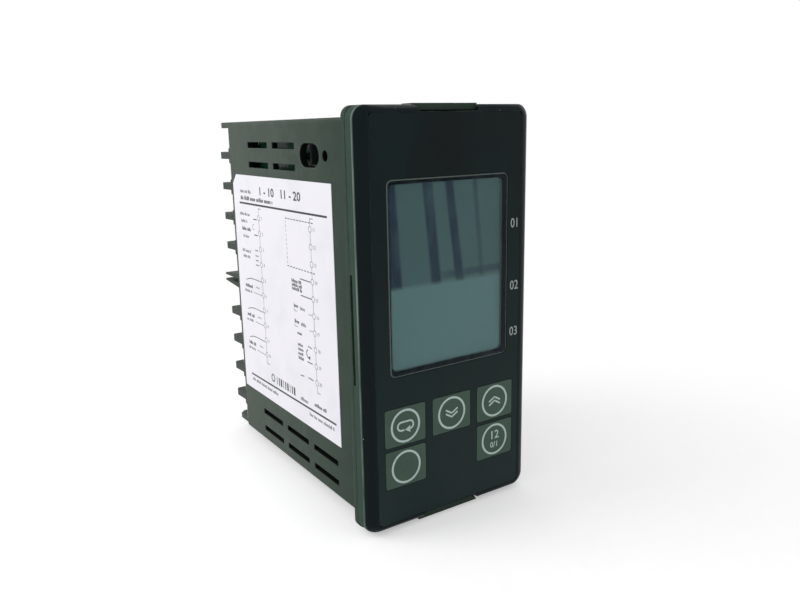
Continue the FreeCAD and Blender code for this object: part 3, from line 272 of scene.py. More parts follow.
    def lay(self, mask: NodeSocket, colour: str = "", roughness: float = -1,
            within: NodeSocket | None = None, strength: float = 1.0) -> None:
        """Lay a colour, a roughness or both over what is there.

        Args:
            mask: where the layer lies.
            colour: its hex colour, or nothing to keep the colour.
            roughness: its roughness, or -1 to keep the roughness.
            within: a second mask that the first is cut to.
            strength: how much of the layer shows where the mask is full.
        """
        for share in (within, strength if strength != 1 else None):
            if share is not None:
                mask = add_node(self.tree, "ShaderNodeMath", {"operation": "MULTIPLY"}, {
                    0: mask, 1: share}).outputs[0]
        if colour:
            self.colour = add_node(self.tree, "ShaderNodeMix", {"data_type": "RGBA"}, {
                0: mask, 6: self.colour, 7: colour}).outputs[2]
        if roughness >= 0:
            self.roughness = add_node(self.tree, "ShaderNodeMix", {"data_type": "FLOAT"}, {
                0: mask, 2: self.roughness, 3: roughness}).outputs[0]

    def emboss(self, mask: NodeSocket, deep_mm: float) -> None:
        """Raise the surface, over what is raised already.

        Args:
            mask: where it is raised.
            deep_mm: how far, where the mask is full.
        """
        inputs = {"Height": mask, "Distance": deep_mm * MM}
        normal = self.shader.inputs["Normal"]
        if normal.links:
            inputs["Normal"] = normal.links[0].from_socket
        self.tree.links.new(add_node(self.tree, "ShaderNodeBump", {}, inputs).outputs[0], normal)

    def done(self) -> Material:
        """Connect the colour and roughness to the shader and give the material.

        Returns:
            The material.
        """
        for name, value in (("Base Color", self.colour), ("Roughness", self.roughness)):
            if isinstance(value, NodeSocket):
                self.tree.links.new(value, self.shader.inputs[name])
            else:
                self.shader.inputs[name].default_value = linear(value) if isinstance(value, str) else value
        return self.material


# ---------------------------------------------------------------- finishes


@dataclass(frozen=True)
class MouldedPlastic:
    """A moulded thermoplastic with the fine spark-eroded grain of its tool.

    The grain is about 0.1 mm wide. It is drawn four to five times as wide, so that it shows. From
    dusty_from_mm to dusty_to_mm behind the panel the colour pales with painted
    light, and dust thickens. A case is hollow within inside_x_mm and inside_z_mm of its middle, and painted
    shade makes it near black there.
    """

    name: str
    colour: str
    fleck: str
    roughness: float = 0.6
    specular: float = 0.1
    grain_mm: float = 0.5
    deep_mm: float = 0.012
    wear: str = "8a968d"
    # Colour of the dust and of the painted light that pale the case towards the rear.
    dusty: str = ""
    dusty_from_mm: float = 4.0
    dusty_to_mm: float = 62.0
    speck: str = "b9c4bb"
    inside_x_mm: float = 0.0
    inside_z_mm: float = 0.0
    # Near black of the painted shade inside the case.
    painted_inside_shade: str = "0b0f0d"

    def build(self) -> Material:
        """Make the material: mottled colour, grain, rubbed edges, dust and painted light that pale the case
        towards the rear, and painted shade inside.

        Returns:
            The material.
        """
        coat = Layers(self.name, self.colour, self.roughness, {
            "Specular IOR Level": self.specular, "IOR": 1.54})
        grain = coat.cloud(self.grain_mm)
        coat.lay(coat.cloud(7.0), self.fleck, strength=0.7)
        coat.lay(grain, self.fleck, self.roughness + 0.1, strength=0.6)
        if self.dusty:
            # Painted light and dust: the colour pales towards the rear, standing in for the stronger light
            # there, with dust patches and specks laid in it.
            rearwards = coat.ramp(Axis.Y, self.dusty_from_mm, self.dusty_to_mm)
            coat.lay(rearwards, self.dusty, self.roughness + 0.1, strength=0.75)
            coat.lay(coat.cloud(5.0, 0.45, 0.75, octaves=5), self.dusty, within=rearwards)
            coat.lay(coat.specks(1.9, 0.15, 0.05), self.speck, 0.8)
        coat.lay(coat.rubbed(0.3, 3.0), self.wear, self.roughness - 0.1, strength=0.7)
        if self.inside_x_mm:
            # Painted shade: the inside, seen through the vents and slots, is painted near black.
            coat.lay(coat.band(Axis.X, 0.0, self.inside_x_mm, 0.25), self.painted_inside_shade,
                     within=coat.band(Axis.Z, 0.0, self.inside_z_mm, 0.5))
        coat.emboss(grain, self.deep_mm)
        return coat.done()


@dataclass(frozen=True)
class BezelPlastic:
    """The bezel's moulded plastic: grained sides, darker than the case with painted shade, and a front
    rounding with the polish of its tool, darker still with painted shade.

    Its grain is drawn at 0.5 mm, wider than it is, so that it shows.
    """

    name: str = "moulded_bezel_plastic"
    # The sides are darker than the case: painted shade.
    side: str = "2b4037"
    side_fleck: str = "354a40"
    polished_and_painted_shade: str = "0a171a"
    crease_mm: float = -4.2
    # Light colour of rubbed edges, and of the crease's painted highlight and wear.
    wear: str = "8fa096"
    speck: str = "9aa69e"
    knock: str = "c3ccc6"

    def build(self) -> Material:
        """Make the material: the polish and the front's painted shade start at the crease of the side.

        Returns:
            The material.
        """
        coat = Layers(self.name, self.side, 0.55, {"Specular IOR Level": 0.08, "IOR": 1.54})
        grain = coat.cloud(0.5)
        coat.lay(grain, self.side_fleck, 0.62)
        coat.lay(coat.cloud(6.0), self.side_fleck, strength=0.6)
        # Painted shade: the front rounding, which faces away from the lamp, is painted darker; it is also
        # glossier.
        front = coat.ramp(Axis.Y, self.crease_mm, self.crease_mm - 0.5)
        coat.lay(front, self.polished_and_painted_shade, 0.28)
        coat.lay(coat.cloud(3.0, 0.45, 0.8, octaves=5), roughness=0.4, within=front)
        # Painted highlight and wear: the crease is painted bright where light catches it and handling has
        # rubbed it, in patches drawn out along the sides.
        crease = coat.band(Axis.Y, self.crease_mm - 0.1, 0.05, 0.35)
        coat.lay(crease, self.wear, 0.3, coat.cloud(5.0, 0.3, 0.7, (1, 1, 0.3), 5), 0.7)
        coat.lay(coat.rubbed(0.2, 4.0), self.wear, 0.4, strength=0.25)
        coat.lay(coat.specks(1.7, 0.14, 0.06), self.speck, 0.8)
        # Small knocks gather towards the top, where the case is gripped to draw it out.
        coat.lay(coat.specks(1.3, 0.11, 0.16), self.knock, 0.5, coat.ramp(Axis.Z, 26.0, 46.0))
        coat.emboss(grain, 0.006)
        return coat.done()


@dataclass(frozen=True)
class PrintedSheet:
    """The back-printed polycarbonate sheet of the front, with a satin face."""

    name: str = "printed_polycarbonate_sheet"
    colour: str = "071213"
    smeared: str = "112727"
    # Paler colour of the painted reflection towards the sheet's foot.
    painted_low_reflection: str = "233130"
    speck: str = "5d6866"

    def build(self) -> Material:
        """Make the material: an almost even black, paler towards its foot with a painted reflection, with
        handling marks and specks.

        Returns:
            The material.
        """
        coat = Layers(self.name, self.colour, 0.38, {"Specular IOR Level": 0.08, "IOR": 1.58})
        # Painted reflection: the sheet pales towards its foot, where it faces the pale floor.
        coat.lay(coat.ramp(Axis.Z, 30.0, -44.0), self.painted_low_reflection, 0.42)
        smear = coat.cloud(18.0, 0.35, 0.7, (1, 1, 0.6), 4)
        coat.lay(smear, self.smeared, 0.47, strength=0.6)
        coat.lay(coat.specks(3.1, 0.13, 0.12), self.speck, 0.8)
        # A satin film's texture is a few hundredths of a millimetre wide. It is drawn at 0.35 mm to show.
        coat.emboss(coat.cloud(0.35), 0.003)
        return coat.done()


@dataclass(frozen=True)
class Ink:
    """Screen-printed ink, thinner here and there where its mesh left it.

    The marks of the mesh lie about 0.1 mm apart. They are drawn in patches of 0.6 mm, so that they show.
    """

    name: str
    colour: str
    thin: str

    def build(self) -> Material:
        """Make the material.

        Returns:
            The material.
        """
        coat = Layers(self.name, self.colour, 0.5, {"Specular IOR Level": 0.3})
        coat.lay(coat.cloud(0.6, 0.4, 0.8), self.thin, 0.62)
        return coat.done()


@dataclass(frozen=True)
class LabelFilm:
    """White polyester label film, a little soiled by handling."""

    name: str = "white_polyester_label"
    colour: str = "f6f4fb"
    soiled: str = "e6e7ee"

    def build(self) -> Material:
        """Make the material: glossy film over the fine orange peel of its adhesive.

        Returns:
            The material.
        """
        coat = Layers(self.name, self.colour, 0.36, {"Specular IOR Level": 0.4})
        peel = coat.cloud(0.9)
        coat.lay(coat.cloud(14.0, 0.5, 0.85, octaves=4), self.soiled, 0.45)
        coat.lay(peel, roughness=0.42)
        coat.emboss(peel, 0.002)
        return coat.done()


@dataclass(frozen=True)
class ClearMoulding:
    """Clear polycarbonate from a polished tool, with faint wiping marks."""

    name: str = "coated_clear_polycarbonate"
    clear: str = "eef4f4"
    wiped: str = "f2f6f6"
    bloom: str = "5a7080"

    def build(self) -> Material:
        """Make the material: it bends the view, mirrors a blue remnant and lets the lamps' light through.

        Returns:
            The material.
        """
        coat = Layers(self.name, self.clear, 0.03, {
            "Transmission Weight": 1.0, "IOR": 1.585, "Specular Tint": linear(self.bloom)})
        coat.lay(coat.cloud(2.4, 0.45, 0.8, (1, 1, 0.25), 4), self.wiped, 0.1)
        clear = add_node(coat.tree, "ShaderNodeBsdfTransparent", {}, {"Color": self.clear})
        ray = add_node(coat.tree, "ShaderNodeLightPath", {}, {})
        both = add_node(coat.tree, "ShaderNodeMixShader", {}, {
            0: ray.outputs["Is Shadow Ray"], 1: coat.shader.outputs[0], 2: clear.outputs[0]})
        coat.tree.links.new(both.outputs[0], coat.tree.nodes["Material Output"].inputs["Surface"])
        return coat.done()


@dataclass(frozen=True)
class DisplayFilm:
    """The polariser of an unlit liquid crystal cell: grey-green, with a painted reflection of the room in
    blue-black bands.

    Each band has its middle across the front at height 0, half its width, its lean and its strength. The
    matt texture of the film is drawn at 0.5 mm, wider than it is, so that it shows.
    """

    name: str = "display_polariser_film"
    lower: str = "6f908f"
    # The upper colour and the bands are a painted reflection of the room.
    upper: str = "536f6d"
    painted_reflection: str = "10233a"
    bands: tuple[tuple[float, float, float, float], ...] = (
        (-14.2, 1.8, -0.06, 1.0), (-2.2, 0.9, -0.1, 0.9), (4.8, 0.7, -0.133, 0.95), (11.2, 0.2, -0.1, 0.5))

    def build(self) -> Material:
        """Make the material: a painted reflection darkens the upper half and lies there in upright bands.

        Returns:
            The material.
        """
        coat = Layers(self.name, self.lower, 0.4, {"Specular IOR Level": 0.1})
        # Painted reflection of the room: a darker upper half, with soft upright bands and one crossing band.
        painted_reflection_above = coat.ramp(Axis.Z, 8.0, 9.2)
        coat.lay(painted_reflection_above, self.upper)
        for middle, half, lean, strength in self.bands:
            coat.lay(coat.band(Axis.X, middle, half, 0.9, lean), self.painted_reflection, within=painted_reflection_above, strength=strength)
        coat.lay(coat.band(Axis.Z, 10.2, 0.4, 0.7), self.painted_reflection, within=coat.ramp(Axis.X, -4.0, 3.0),
                 strength=0.6)
        coat.lay(coat.cloud(6.0, 0.45, 0.7, (1, 1, 0.4)), self.upper, within=painted_reflection_above, strength=0.5)
        coat.lay(coat.cloud(0.5), roughness=0.46)
        return coat.done()


@dataclass(frozen=True)
class PlatedMetal:
    """Barrel-plated metal: bright, under a dull veil and fine scratches.

    The scratches are a few hundredths of a millimetre wide. They are drawn at 0.5 mm, so that they show.
    """

    name: str
    colour: str
    dull: str
    roughness: float = 0.3

    def build(self) -> Material:
        """Make the material.

        Returns:
            The material.
        """
        coat = Layers(self.name, self.colour, self.roughness, {"Metallic": 1.0})
        scratches = coat.cloud(0.5, 0.4, 0.6, (1, 1, 6))
        coat.lay(coat.cloud(1.6, 0.35, 0.7), self.dull, self.roughness + 0.14)
        coat.lay(scratches, roughness=self.roughness + 0.1, strength=0.6)
        coat.emboss(scratches, 0.004)
        return coat.done()


@dataclass(frozen=True)
class CircuitBoard:
    """Glass-epoxy board under green solder mask, with copper tracks and tinned pads.

    Real tracks lie about 0.5 mm apart. They are drawn at pitch_mm, so that they show.
    """

    name: str = "green_solder_mask"
    ground: str = "0d3d2a"
    shade: str = "0a3323"
    plane: str = "15553a"
    copper: str = "1f6a45"
    tinned: str = "aeb3aa"
    pitch_mm: float = 2.0

    def build(self) -> Material:
        """Make the material: oblong fields of tracks run up or across, with pads scattered over them.

        Returns:
            The material.
        """
        coat = Layers(self.name, self.ground, 0.36, {"Specular IOR Level": 0.3})
        runs = coat.stripes(Axis.Z, self.pitch_mm, 0.3)
        crossing = coat.stripes(Axis.Y, self.pitch_mm, 0.3)
        pads = coat.specks(2.9, 0.42, 0.3)
        coat.lay(coat.cloud(12.0), self.shade, strength=0.5)
        coat.lay(coat.stripes(Axis.Z, 21.0, 0.55), self.plane, 0.33, coat.stripes(Axis.Y, 17.0, 0.6))
        coat.lay(runs, self.copper, 0.3, coat.stripes(Axis.Y, 26.0, 0.5))
        coat.lay(crossing, self.copper, 0.3, coat.stripes(Axis.Z, 31.0, 0.35))
        coat.lay(pads, self.tinned, 0.35)
        coat.emboss(runs, 0.02)
        coat.emboss(pads, 0.04)
        return coat.done()


@dataclass(frozen=True)
class FinePlain:
    """A small part in one material: mottled, with a grain that is drawn as wide as it needs to show."""

    name: str
    colour: str
    fleck: str
    roughness: float = 0.5
    grain_mm: float = 0.5
    deep_mm: float = 0.006
    metallic: float = 0.0
    stretch: Triple = (1, 1, 1)

    def build(self) -> Material:
        """Make the material.

        Returns:
            The material.
        """
        coat = Layers(self.name, self.colour, self.roughness, {"Metallic": self.metallic})
        grain = coat.cloud(self.grain_mm, stretch=self.stretch)
        coat.lay(grain, self.fleck, self.roughness + 0.12)
        coat.emboss(grain, self.deep_mm)
        return coat.done()


@dataclass(frozen=True)
class Striped:
    """A material of layers or turns: two colours in bands along one axis."""

    name: str
    colour: str
    other: str
    axis: Axis
    pitch_mm: float
    share: float = 0.5
    roughness: float = 0.45
    metallic: float = 0.0
    deep_mm: float = 0.05

    def build(self) -> Material:
        """Make the material.

        Returns:
            The material.
        """
        coat = Layers(self.name, self.colour, self.roughness, {"Metallic": self.metallic})
        bands = coat.stripes(self.axis, self.pitch_mm, self.share)
        coat.lay(bands, self.other)
        coat.lay(coat.cloud(0.7), roughness=self.roughness + 0.1)
        coat.emboss(bands, self.deep_mm)
        return coat.done()


class Finishes:
    """Every material of the controller, built once."""

    def __init__(self) -> None:
        """Build the materials, each from the real material and process it stands for."""
        # Glass-filled housing plastic: dull, its spark-eroded grain scatters light to a soft grey-green.
        # Painted light and dust pale it towards the rear, and painted shade darkens its inside.
        self.housing = MouldedPlastic("spark_grained_housing_plastic", "2c3d32", "37463d",
                                      dusty="575f58", inside_x_mm=21.85, inside_z_mm=43.2).build()
        # Terminal block: the same family of plastic, darker and a little smoother.
        self.block = MouldedPlastic("terminal_block_plastic", "39403b", "444c46", 0.5, wear="6b756d").build()
        # Bezel: dull green-black sides, darker than the case by painted shade; a crease with a painted
        # highlight and wear;
        # and a front rounding that is glossier and darker by painted shade.
        self.bezel = BezelPlastic().build()
        # Sheet printed on its back: deep black under a satin face that keeps soft smears, paler towards its
        # foot with a painted reflection.
        self.sheet = PrintedSheet().build()
        # Key caps: fine matt grain, lighter than the sheet round them.
        self.key = MouldedPlastic("matt_key_plastic", "3f5449", "485e52", 0.55, 0.2, 0.4, 0.006,
                                  "66736b").build()
        # Switch plungers and their housings: dark engineering plastic, sharp edges left shiny by the tool.
        self.switch = MouldedPlastic("switch_plastic", "2a2d2e", "343839", 0.5, 0.3, 0.4, 0.006,
                                     "50565a").build()
        # Screen inks: flat, opaque and matt, a little paler or darker where they are thin.
        self.pale_ink = Ink("pale_screen_ink", "c3d6d0", "b2c5bf").build()
        self.legend_ink = Ink("grey_legend_ink", "b4bcbb", "a3abaa").build()
        self.dark_ink = Ink("dark_label_ink", "2f3338", "44494e").build()
        self.fine_ink = Ink("fine_label_ink", "6d757b", "8a9297").build()
        # Label film: cool white with a low gloss, greyer where hands have touched it.
        self.label = LabelFilm().build()
        # Window: clear and glossy, with a faint blue cast where it mirrors the room.
        self.window = ClearMoulding().build()
        # The window's rim is left matt by its tool, so it scatters light where the face is clear; its lighter
        # colour is also a painted highlight along the bevel.
        self.rim = FinePlain("matt_rim_painted_highlight", "4c5a54", "5a6861", 0.5, 0.6, 0.01).build()
        # Mask printed on the window's back: a flat black edge that frames the display.
        self.mask = Ink("black_mask_ink", "0d1212", "151b1b").build()
        # Display: grey-green and matt, with a painted reflection of the room: soft blue-black bands in its
        # upper part.
        self.display = DisplayFilm().build()
        # Nickel on brass: warm grey, soft reflections.
        self.nickel = PlatedMetal("nickel_plated_brass", "c9c5bb", "aaa79e", 0.32).build()
        # Zinc with clear passivation on steel: cooler and brighter.
        self.zinc = PlatedMetal("zinc_plated_steel", "d3d7da", "b4b9bd", 0.28).build()
        # Tinned copper pins and legs: greyer, duller than the nickel.
        self.tin = PlatedMetal("tinned_copper", "c7cacb", "a5a9ab", 0.4).build()
        # Soft solder: bright where it flowed, dulled by its flux.
        self.solder = PlatedMetal("soft_solder", "c2c5c6", "8f9496", 0.3).build()
        # Drawn aluminium of a can's end: pale, with soft reflections.
        self.can = PlatedMetal("drawn_aluminium", "cfd2d4", "b3b6b9", 0.3).build()
        # Circuit board: glossy green in two depths, with dull silver pads.
        self.board = CircuitBoard().build()
        # Nitrile rubber seal: dull, slightly dusty.
        self.rubber = FinePlain("nitrile_rubber", "2c2f30", "3d4243", 0.72, 0.8, 0.02).build()
        # Milky acrylic that spreads the lamps' light: pale and even.
        self.guide = FinePlain("milky_acrylic", "dfe3de", "d2d8d3", 0.4, 1.2).build()
        # Reflective plastic of the display's holder: plain white, half matt.
        self.holder = FinePlain("white_reflector_plastic", "dedfd9", "d0d2cb", 0.5).build()
        # Moulded epoxy packages: matt black from a blasted tool.
        self.epoxy = FinePlain("moulded_epoxy", "1d1e20", "292b2e", 0.5, 0.25, 0.01).build()
        # Sintered ferrite: coarse charcoal grey.
        self.ferrite = FinePlain("sintered_ferrite", "35363a", "47484d", 0.6, 0.5, 0.03).build()
        # Polyester tape lapped round a coil: glossy amber with the lines of its laps.
        self.tape = Striped("polyester_coil_tape", "c9a13a", "a67f25", Axis.Y, 4.0, 0.1, 0.35).build()
        # Enamelled copper wire, one turn beside the next: glossy brown-red with dark lines between the turns.
        self.wire = Striped("enamelled_copper_wire", "b0612c", "7a3f1c", Axis.Z, 0.7, 0.3, 0.3, 1.0,
                            0.0).build()
        # Shrink sleeve of a capacitor: smooth dark blue film drawn tight.
        self.sleeve = FinePlain("shrink_sleeve", "1c2533", "243044", 0.32, 0.9, 0.01).build()
        # Black anodised aluminium, drawn out along its length.
        self.anodised = FinePlain("black_anodised_aluminium", "2b2d30", "3c3f42", 0.38, 0.5, 0.008,
                                  0.7, (3, 3, 0.3)).build()
        # Relay covers: glossy dark polyester.
        self.relay = FinePlain("relay_cover_plastic", "24282c", "2f343a", 0.3, 1.0).build()
        # Elastomer contact strip: carbon layers between clear ones, really 0.1 mm apart, drawn at 0.5 mm.
        self.zebra = Striped("layered_elastomer", "2a2c2e", "b8b4a8", Axis.X, 0.5, 0.5, 0.6, 0.0, 0.0).build()
        # Connector plastic, black and slightly glossy.
        self.connector = FinePlain("black_connector_plastic", "202224", "2b2e30", 0.5, 0.6).build()
        # Lamp bodies: pale yellow phosphor resin in a white reflector cup.
        self.lamp = FinePlain("lamp_phosphor_resin", "e8dc8a", "dccb70", 0.35, 0.8).build()


# ---------------------------------------------------------------- meshes


def to_data(name: str, mesh: BMesh) -> Mesh:
    """Store a mesh under a name and free it.

    Args:
        name: the name.
        mesh: the mesh.

    Returns:
        The stored mesh.
    """
    data = bpy.data.meshes.new(name)
    mesh.to_mesh(data)
    mesh.free()
    return data


def added_since(mesh: BMesh, before: set[BMVert]) -> list[BMVert]:
    """Give the corners that a mesh has gained since a set of its corners was noted."""
    return [vert for vert in mesh.verts if vert not in before]


def faces_at(verts: list[BMVert]) -> list[BMFace]:
    """Give the faces that touch some corners."""
    return list({face for vert in verts for face in vert.link_faces})


def moved(by_mm: Triple) -> Matrix:
    """Give the matrix of a move in millimetres."""
    return Matrix.Translation(Vector(by_mm) * MM)


def make_piece(name: str, mesh: BMesh, finish: Material, body: str,
               stands_for: tuple[str, ...] = ()) -> Object:
    """Turn a mesh in the object's frame into a finished piece.

    Args:
        name: the piece's name.
        mesh: its mesh, which is freed.
        finish: its material.
        body: the CAD body it rides on.
        stands_for: CAD nodes it replaces.

    Returns:
        The object, at the origin.
    """
    data = to_data(name, mesh)
    data.materials.append(finish)
    data.polygons.foreach_set("use_smooth", [True] * len(data.polygons))
    data.set_sharp_from_angle(angle=SHARP)
    piece = bpy.data.objects.new(name, data)
    bpy.context.scene.collection.objects.link(piece)
    piece.modifiers.new("even_normals", "WEIGHTED_NORMAL").keep_sharp = True
    if stands_for:
        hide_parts(*stands_for)
    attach(piece, body)
    LOG.info("%s: %d faces on %s", name, len(data.polygons), body)
    return piece


def joined_copy(node: str) -> BMesh:
    """Copy a CAD node's mesh, joined at its corners, with the triangles of each flat face made one.

    Args:
        node: the CAD node.

    Returns:
        The copy.
    """
    mesh = bmesh.new()
    mesh.from_mesh(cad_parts[node].data)
    bmesh.ops.remove_doubles(mesh, verts=mesh.verts[:], dist=TOUCHING)
    for edge in sorted(mesh.edges, key=lambda edge: -edge.calc_length()):
        if not edge.is_valid or len(edge.link_faces) != 2 or abs(edge.calc_face_angle_signed(1)) > FLAT:
            continue
        first, second = edge.link_faces
        shared = len(set(first.edges) & set(second.edges))
        # Faces that touch anywhere else too would make one that closes on itself.
        if len(set(first.verts) & set(second.verts)) == shared + 1:
            bmesh.utils.face_join([first, second], True)
    straight = [vert for vert in mesh.verts if len(vert.link_edges) == 2
                and vert.calc_edge_angle(1) < STRAIGHT]
    bmesh.ops.dissolve_verts(mesh, verts=straight)
    return mesh


def soften(mesh: BMesh, width_mm: float, spared: Callable[[Vector], bool] | None = None) -> None:
    """Bevel the crisp convex edges of a mesh.

    Args:
        mesh: the mesh to change.
        width_mm: width of the bevel.
        spared: a test of an edge's middle, in millimetres, that says the edge stays as it is.
    """
    chosen = [edge for edge in mesh.edges
              if len(edge.link_faces) == 2 and edge.calc_face_angle_signed(0) > BEVELLED
              and edge.calc_length() > 2 * width_mm * MM
              and not (spared and spared((edge.verts[0].co + edge.verts[1].co) / 2 / MM))]
    bmesh.ops.bevel(mesh, geom=chosen, offset=width_mm * MM, offset_type="OFFSET", affect="EDGES",
                    segments=2, profile=0.5, material=-1, clamp_overlap=False)


def soft_copy(name: str, node: str, finish: Material, body: str, width_mm: float,
              spared: Callable[[Vector], bool] | None = None) -> Object:
    """Replace a CAD node by its own shape with softened edges.

    Args:
        name: the piece's name.
        node: the CAD node.
        finish: its material.
        body: the body it rides on.
        width_mm: width of the softening.
        spared: a test of an edge's middle that says the edge stays crisp.

    Returns:
        The piece.
    """
    mesh = joined_copy(node)
    soften(mesh, width_mm, spared)
    return make_piece(name, mesh, finish, body, (node,))


def dress_node(node: str, finish: Material) -> None:
    """Give a CAD node, which stays as it is, its material.

    Args:
        node: the CAD node.
        finish: its material.
    """
    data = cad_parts[node].data
    data.materials.clear()
    data.materials.append(finish)
    LOG.info("%s: kept, %s", node, finish.name)


def add_block(mesh: BMesh, low: Triple, high: Triple, chamfer_mm: float = 0.0) -> None:
    """Add a box between two corners, in millimetres, with bevelled edges.

    Args:
        mesh: the mesh to add to.
        low: its lowest corner.
        high: its highest corner.
        chamfer_mm: width of the bevel, or 0 for none.
    """
    span = Vector(high) - Vector(low)
    made = bmesh.ops.create_cube(mesh, size=1.0)["verts"]
    bmesh.ops.scale(mesh, vec=span * MM, verts=made)
    bmesh.ops.translate(mesh, vec=(Vector(low) + span / 2) * MM, verts=made)
    if chamfer_mm:
        edges = list({edge for vert in made for edge in vert.link_edges})
        bmesh.ops.bevel(mesh, geom=edges, offset=chamfer_mm * MM, affect="EDGES", segments=2, profile=0.5,
                        material=-1)


def add_turned(mesh: BMesh, profile: list[Pair], centre: Triple, towards: Triple, steps: int = 24) -> None:
    """Spin a profile of radius and height about an axis.

    Args:
        mesh: the mesh to add to.
        profile: radius and height pairs in millimetres, both ends on the axis.
        centre: where height 0 lies, in millimetres.
        towards: direction of the axis.
        steps: faces round the turn.
    """
    before = set(mesh.verts)
    points = [mesh.verts.new(Vector((radius, 0, height)) * MM) for radius, height in profile]
    edges = [mesh.edges.new(pair) for pair in zip(points, points[1:])]
    bmesh.ops.spin(mesh, geom=points + edges, cent=(0, 0, 0), axis=(0, 0, 1), angle=math.tau, steps=steps,
                   use_merge=True)
    bmesh.ops.remove_doubles(mesh, verts=added_since(mesh, before), dist=TOUCHING)
    made = added_since(mesh, before)
    bmesh.ops.recalc_face_normals(mesh, faces=faces_at(made))
    turn = Vector(towards).to_track_quat("Z", "Y").to_matrix().to_4x4()
    bmesh.ops.transform(mesh, matrix=moved(centre) @ turn, verts=made)


class Kept(Enum):
    """What is kept of a mesh that another one meets."""

    OUTSIDE = "DIFFERENCE"
    SHARED = "INTERSECT"


def combine(first: Mesh, second: Mesh, kept: Kept) -> Mesh:
    """Cut one mesh by another, or keep what both fill.

    Args:
        first: the mesh that is worked on, which is removed.
        second: the tool, which is removed.
        kept: what is kept of the first mesh.

    Returns:
        The new mesh.
    """
    work, tool = (bpy.data.objects.new(data.name, data) for data in (first, second))
    for item in (work, tool):
        bpy.context.scene.collection.objects.link(item)
    cut = work.modifiers.new("cut", "BOOLEAN")
    cut.operation, cut.solver, cut.object = kept.value, "EXACT", tool
    made = bpy.data.meshes.new_from_object(work.evaluated_get(bpy.context.evaluated_depsgraph_get()))
    for item in (work, tool):
        bpy.data.objects.remove(item)
    for data in (first, second):
        bpy.data.meshes.remove(data)
    return made


class Face(Enum):
    """A face that is printed on: its origin in millimetres, and the directions right, up and out of it."""

    FRONT = (Vector((0, -6.0, 0)), Vector((1, 0, 0)), Vector((0, 0, 1)), Vector((0, -1, 0)))
    # The key caps' fronts lie a little deeper than in the CAD model, to leave room for their ink.
    KEYS = (Vector((0, -6.075, 0)), Vector((1, 0, 0)), Vector((0, 0, 1)), Vector((0, -1, 0)))
    LABEL = (Vector((-22.32, 0, 0)), Vector((0, -1, 0)), Vector((0, 0, 1)), Vector((-1, 0, 0)))
    SPINE = (Vector((0, 72.6, 0)), Vector((-1, 0, 0)), Vector((0, 0, 1)), Vector((0, 1, 0)))


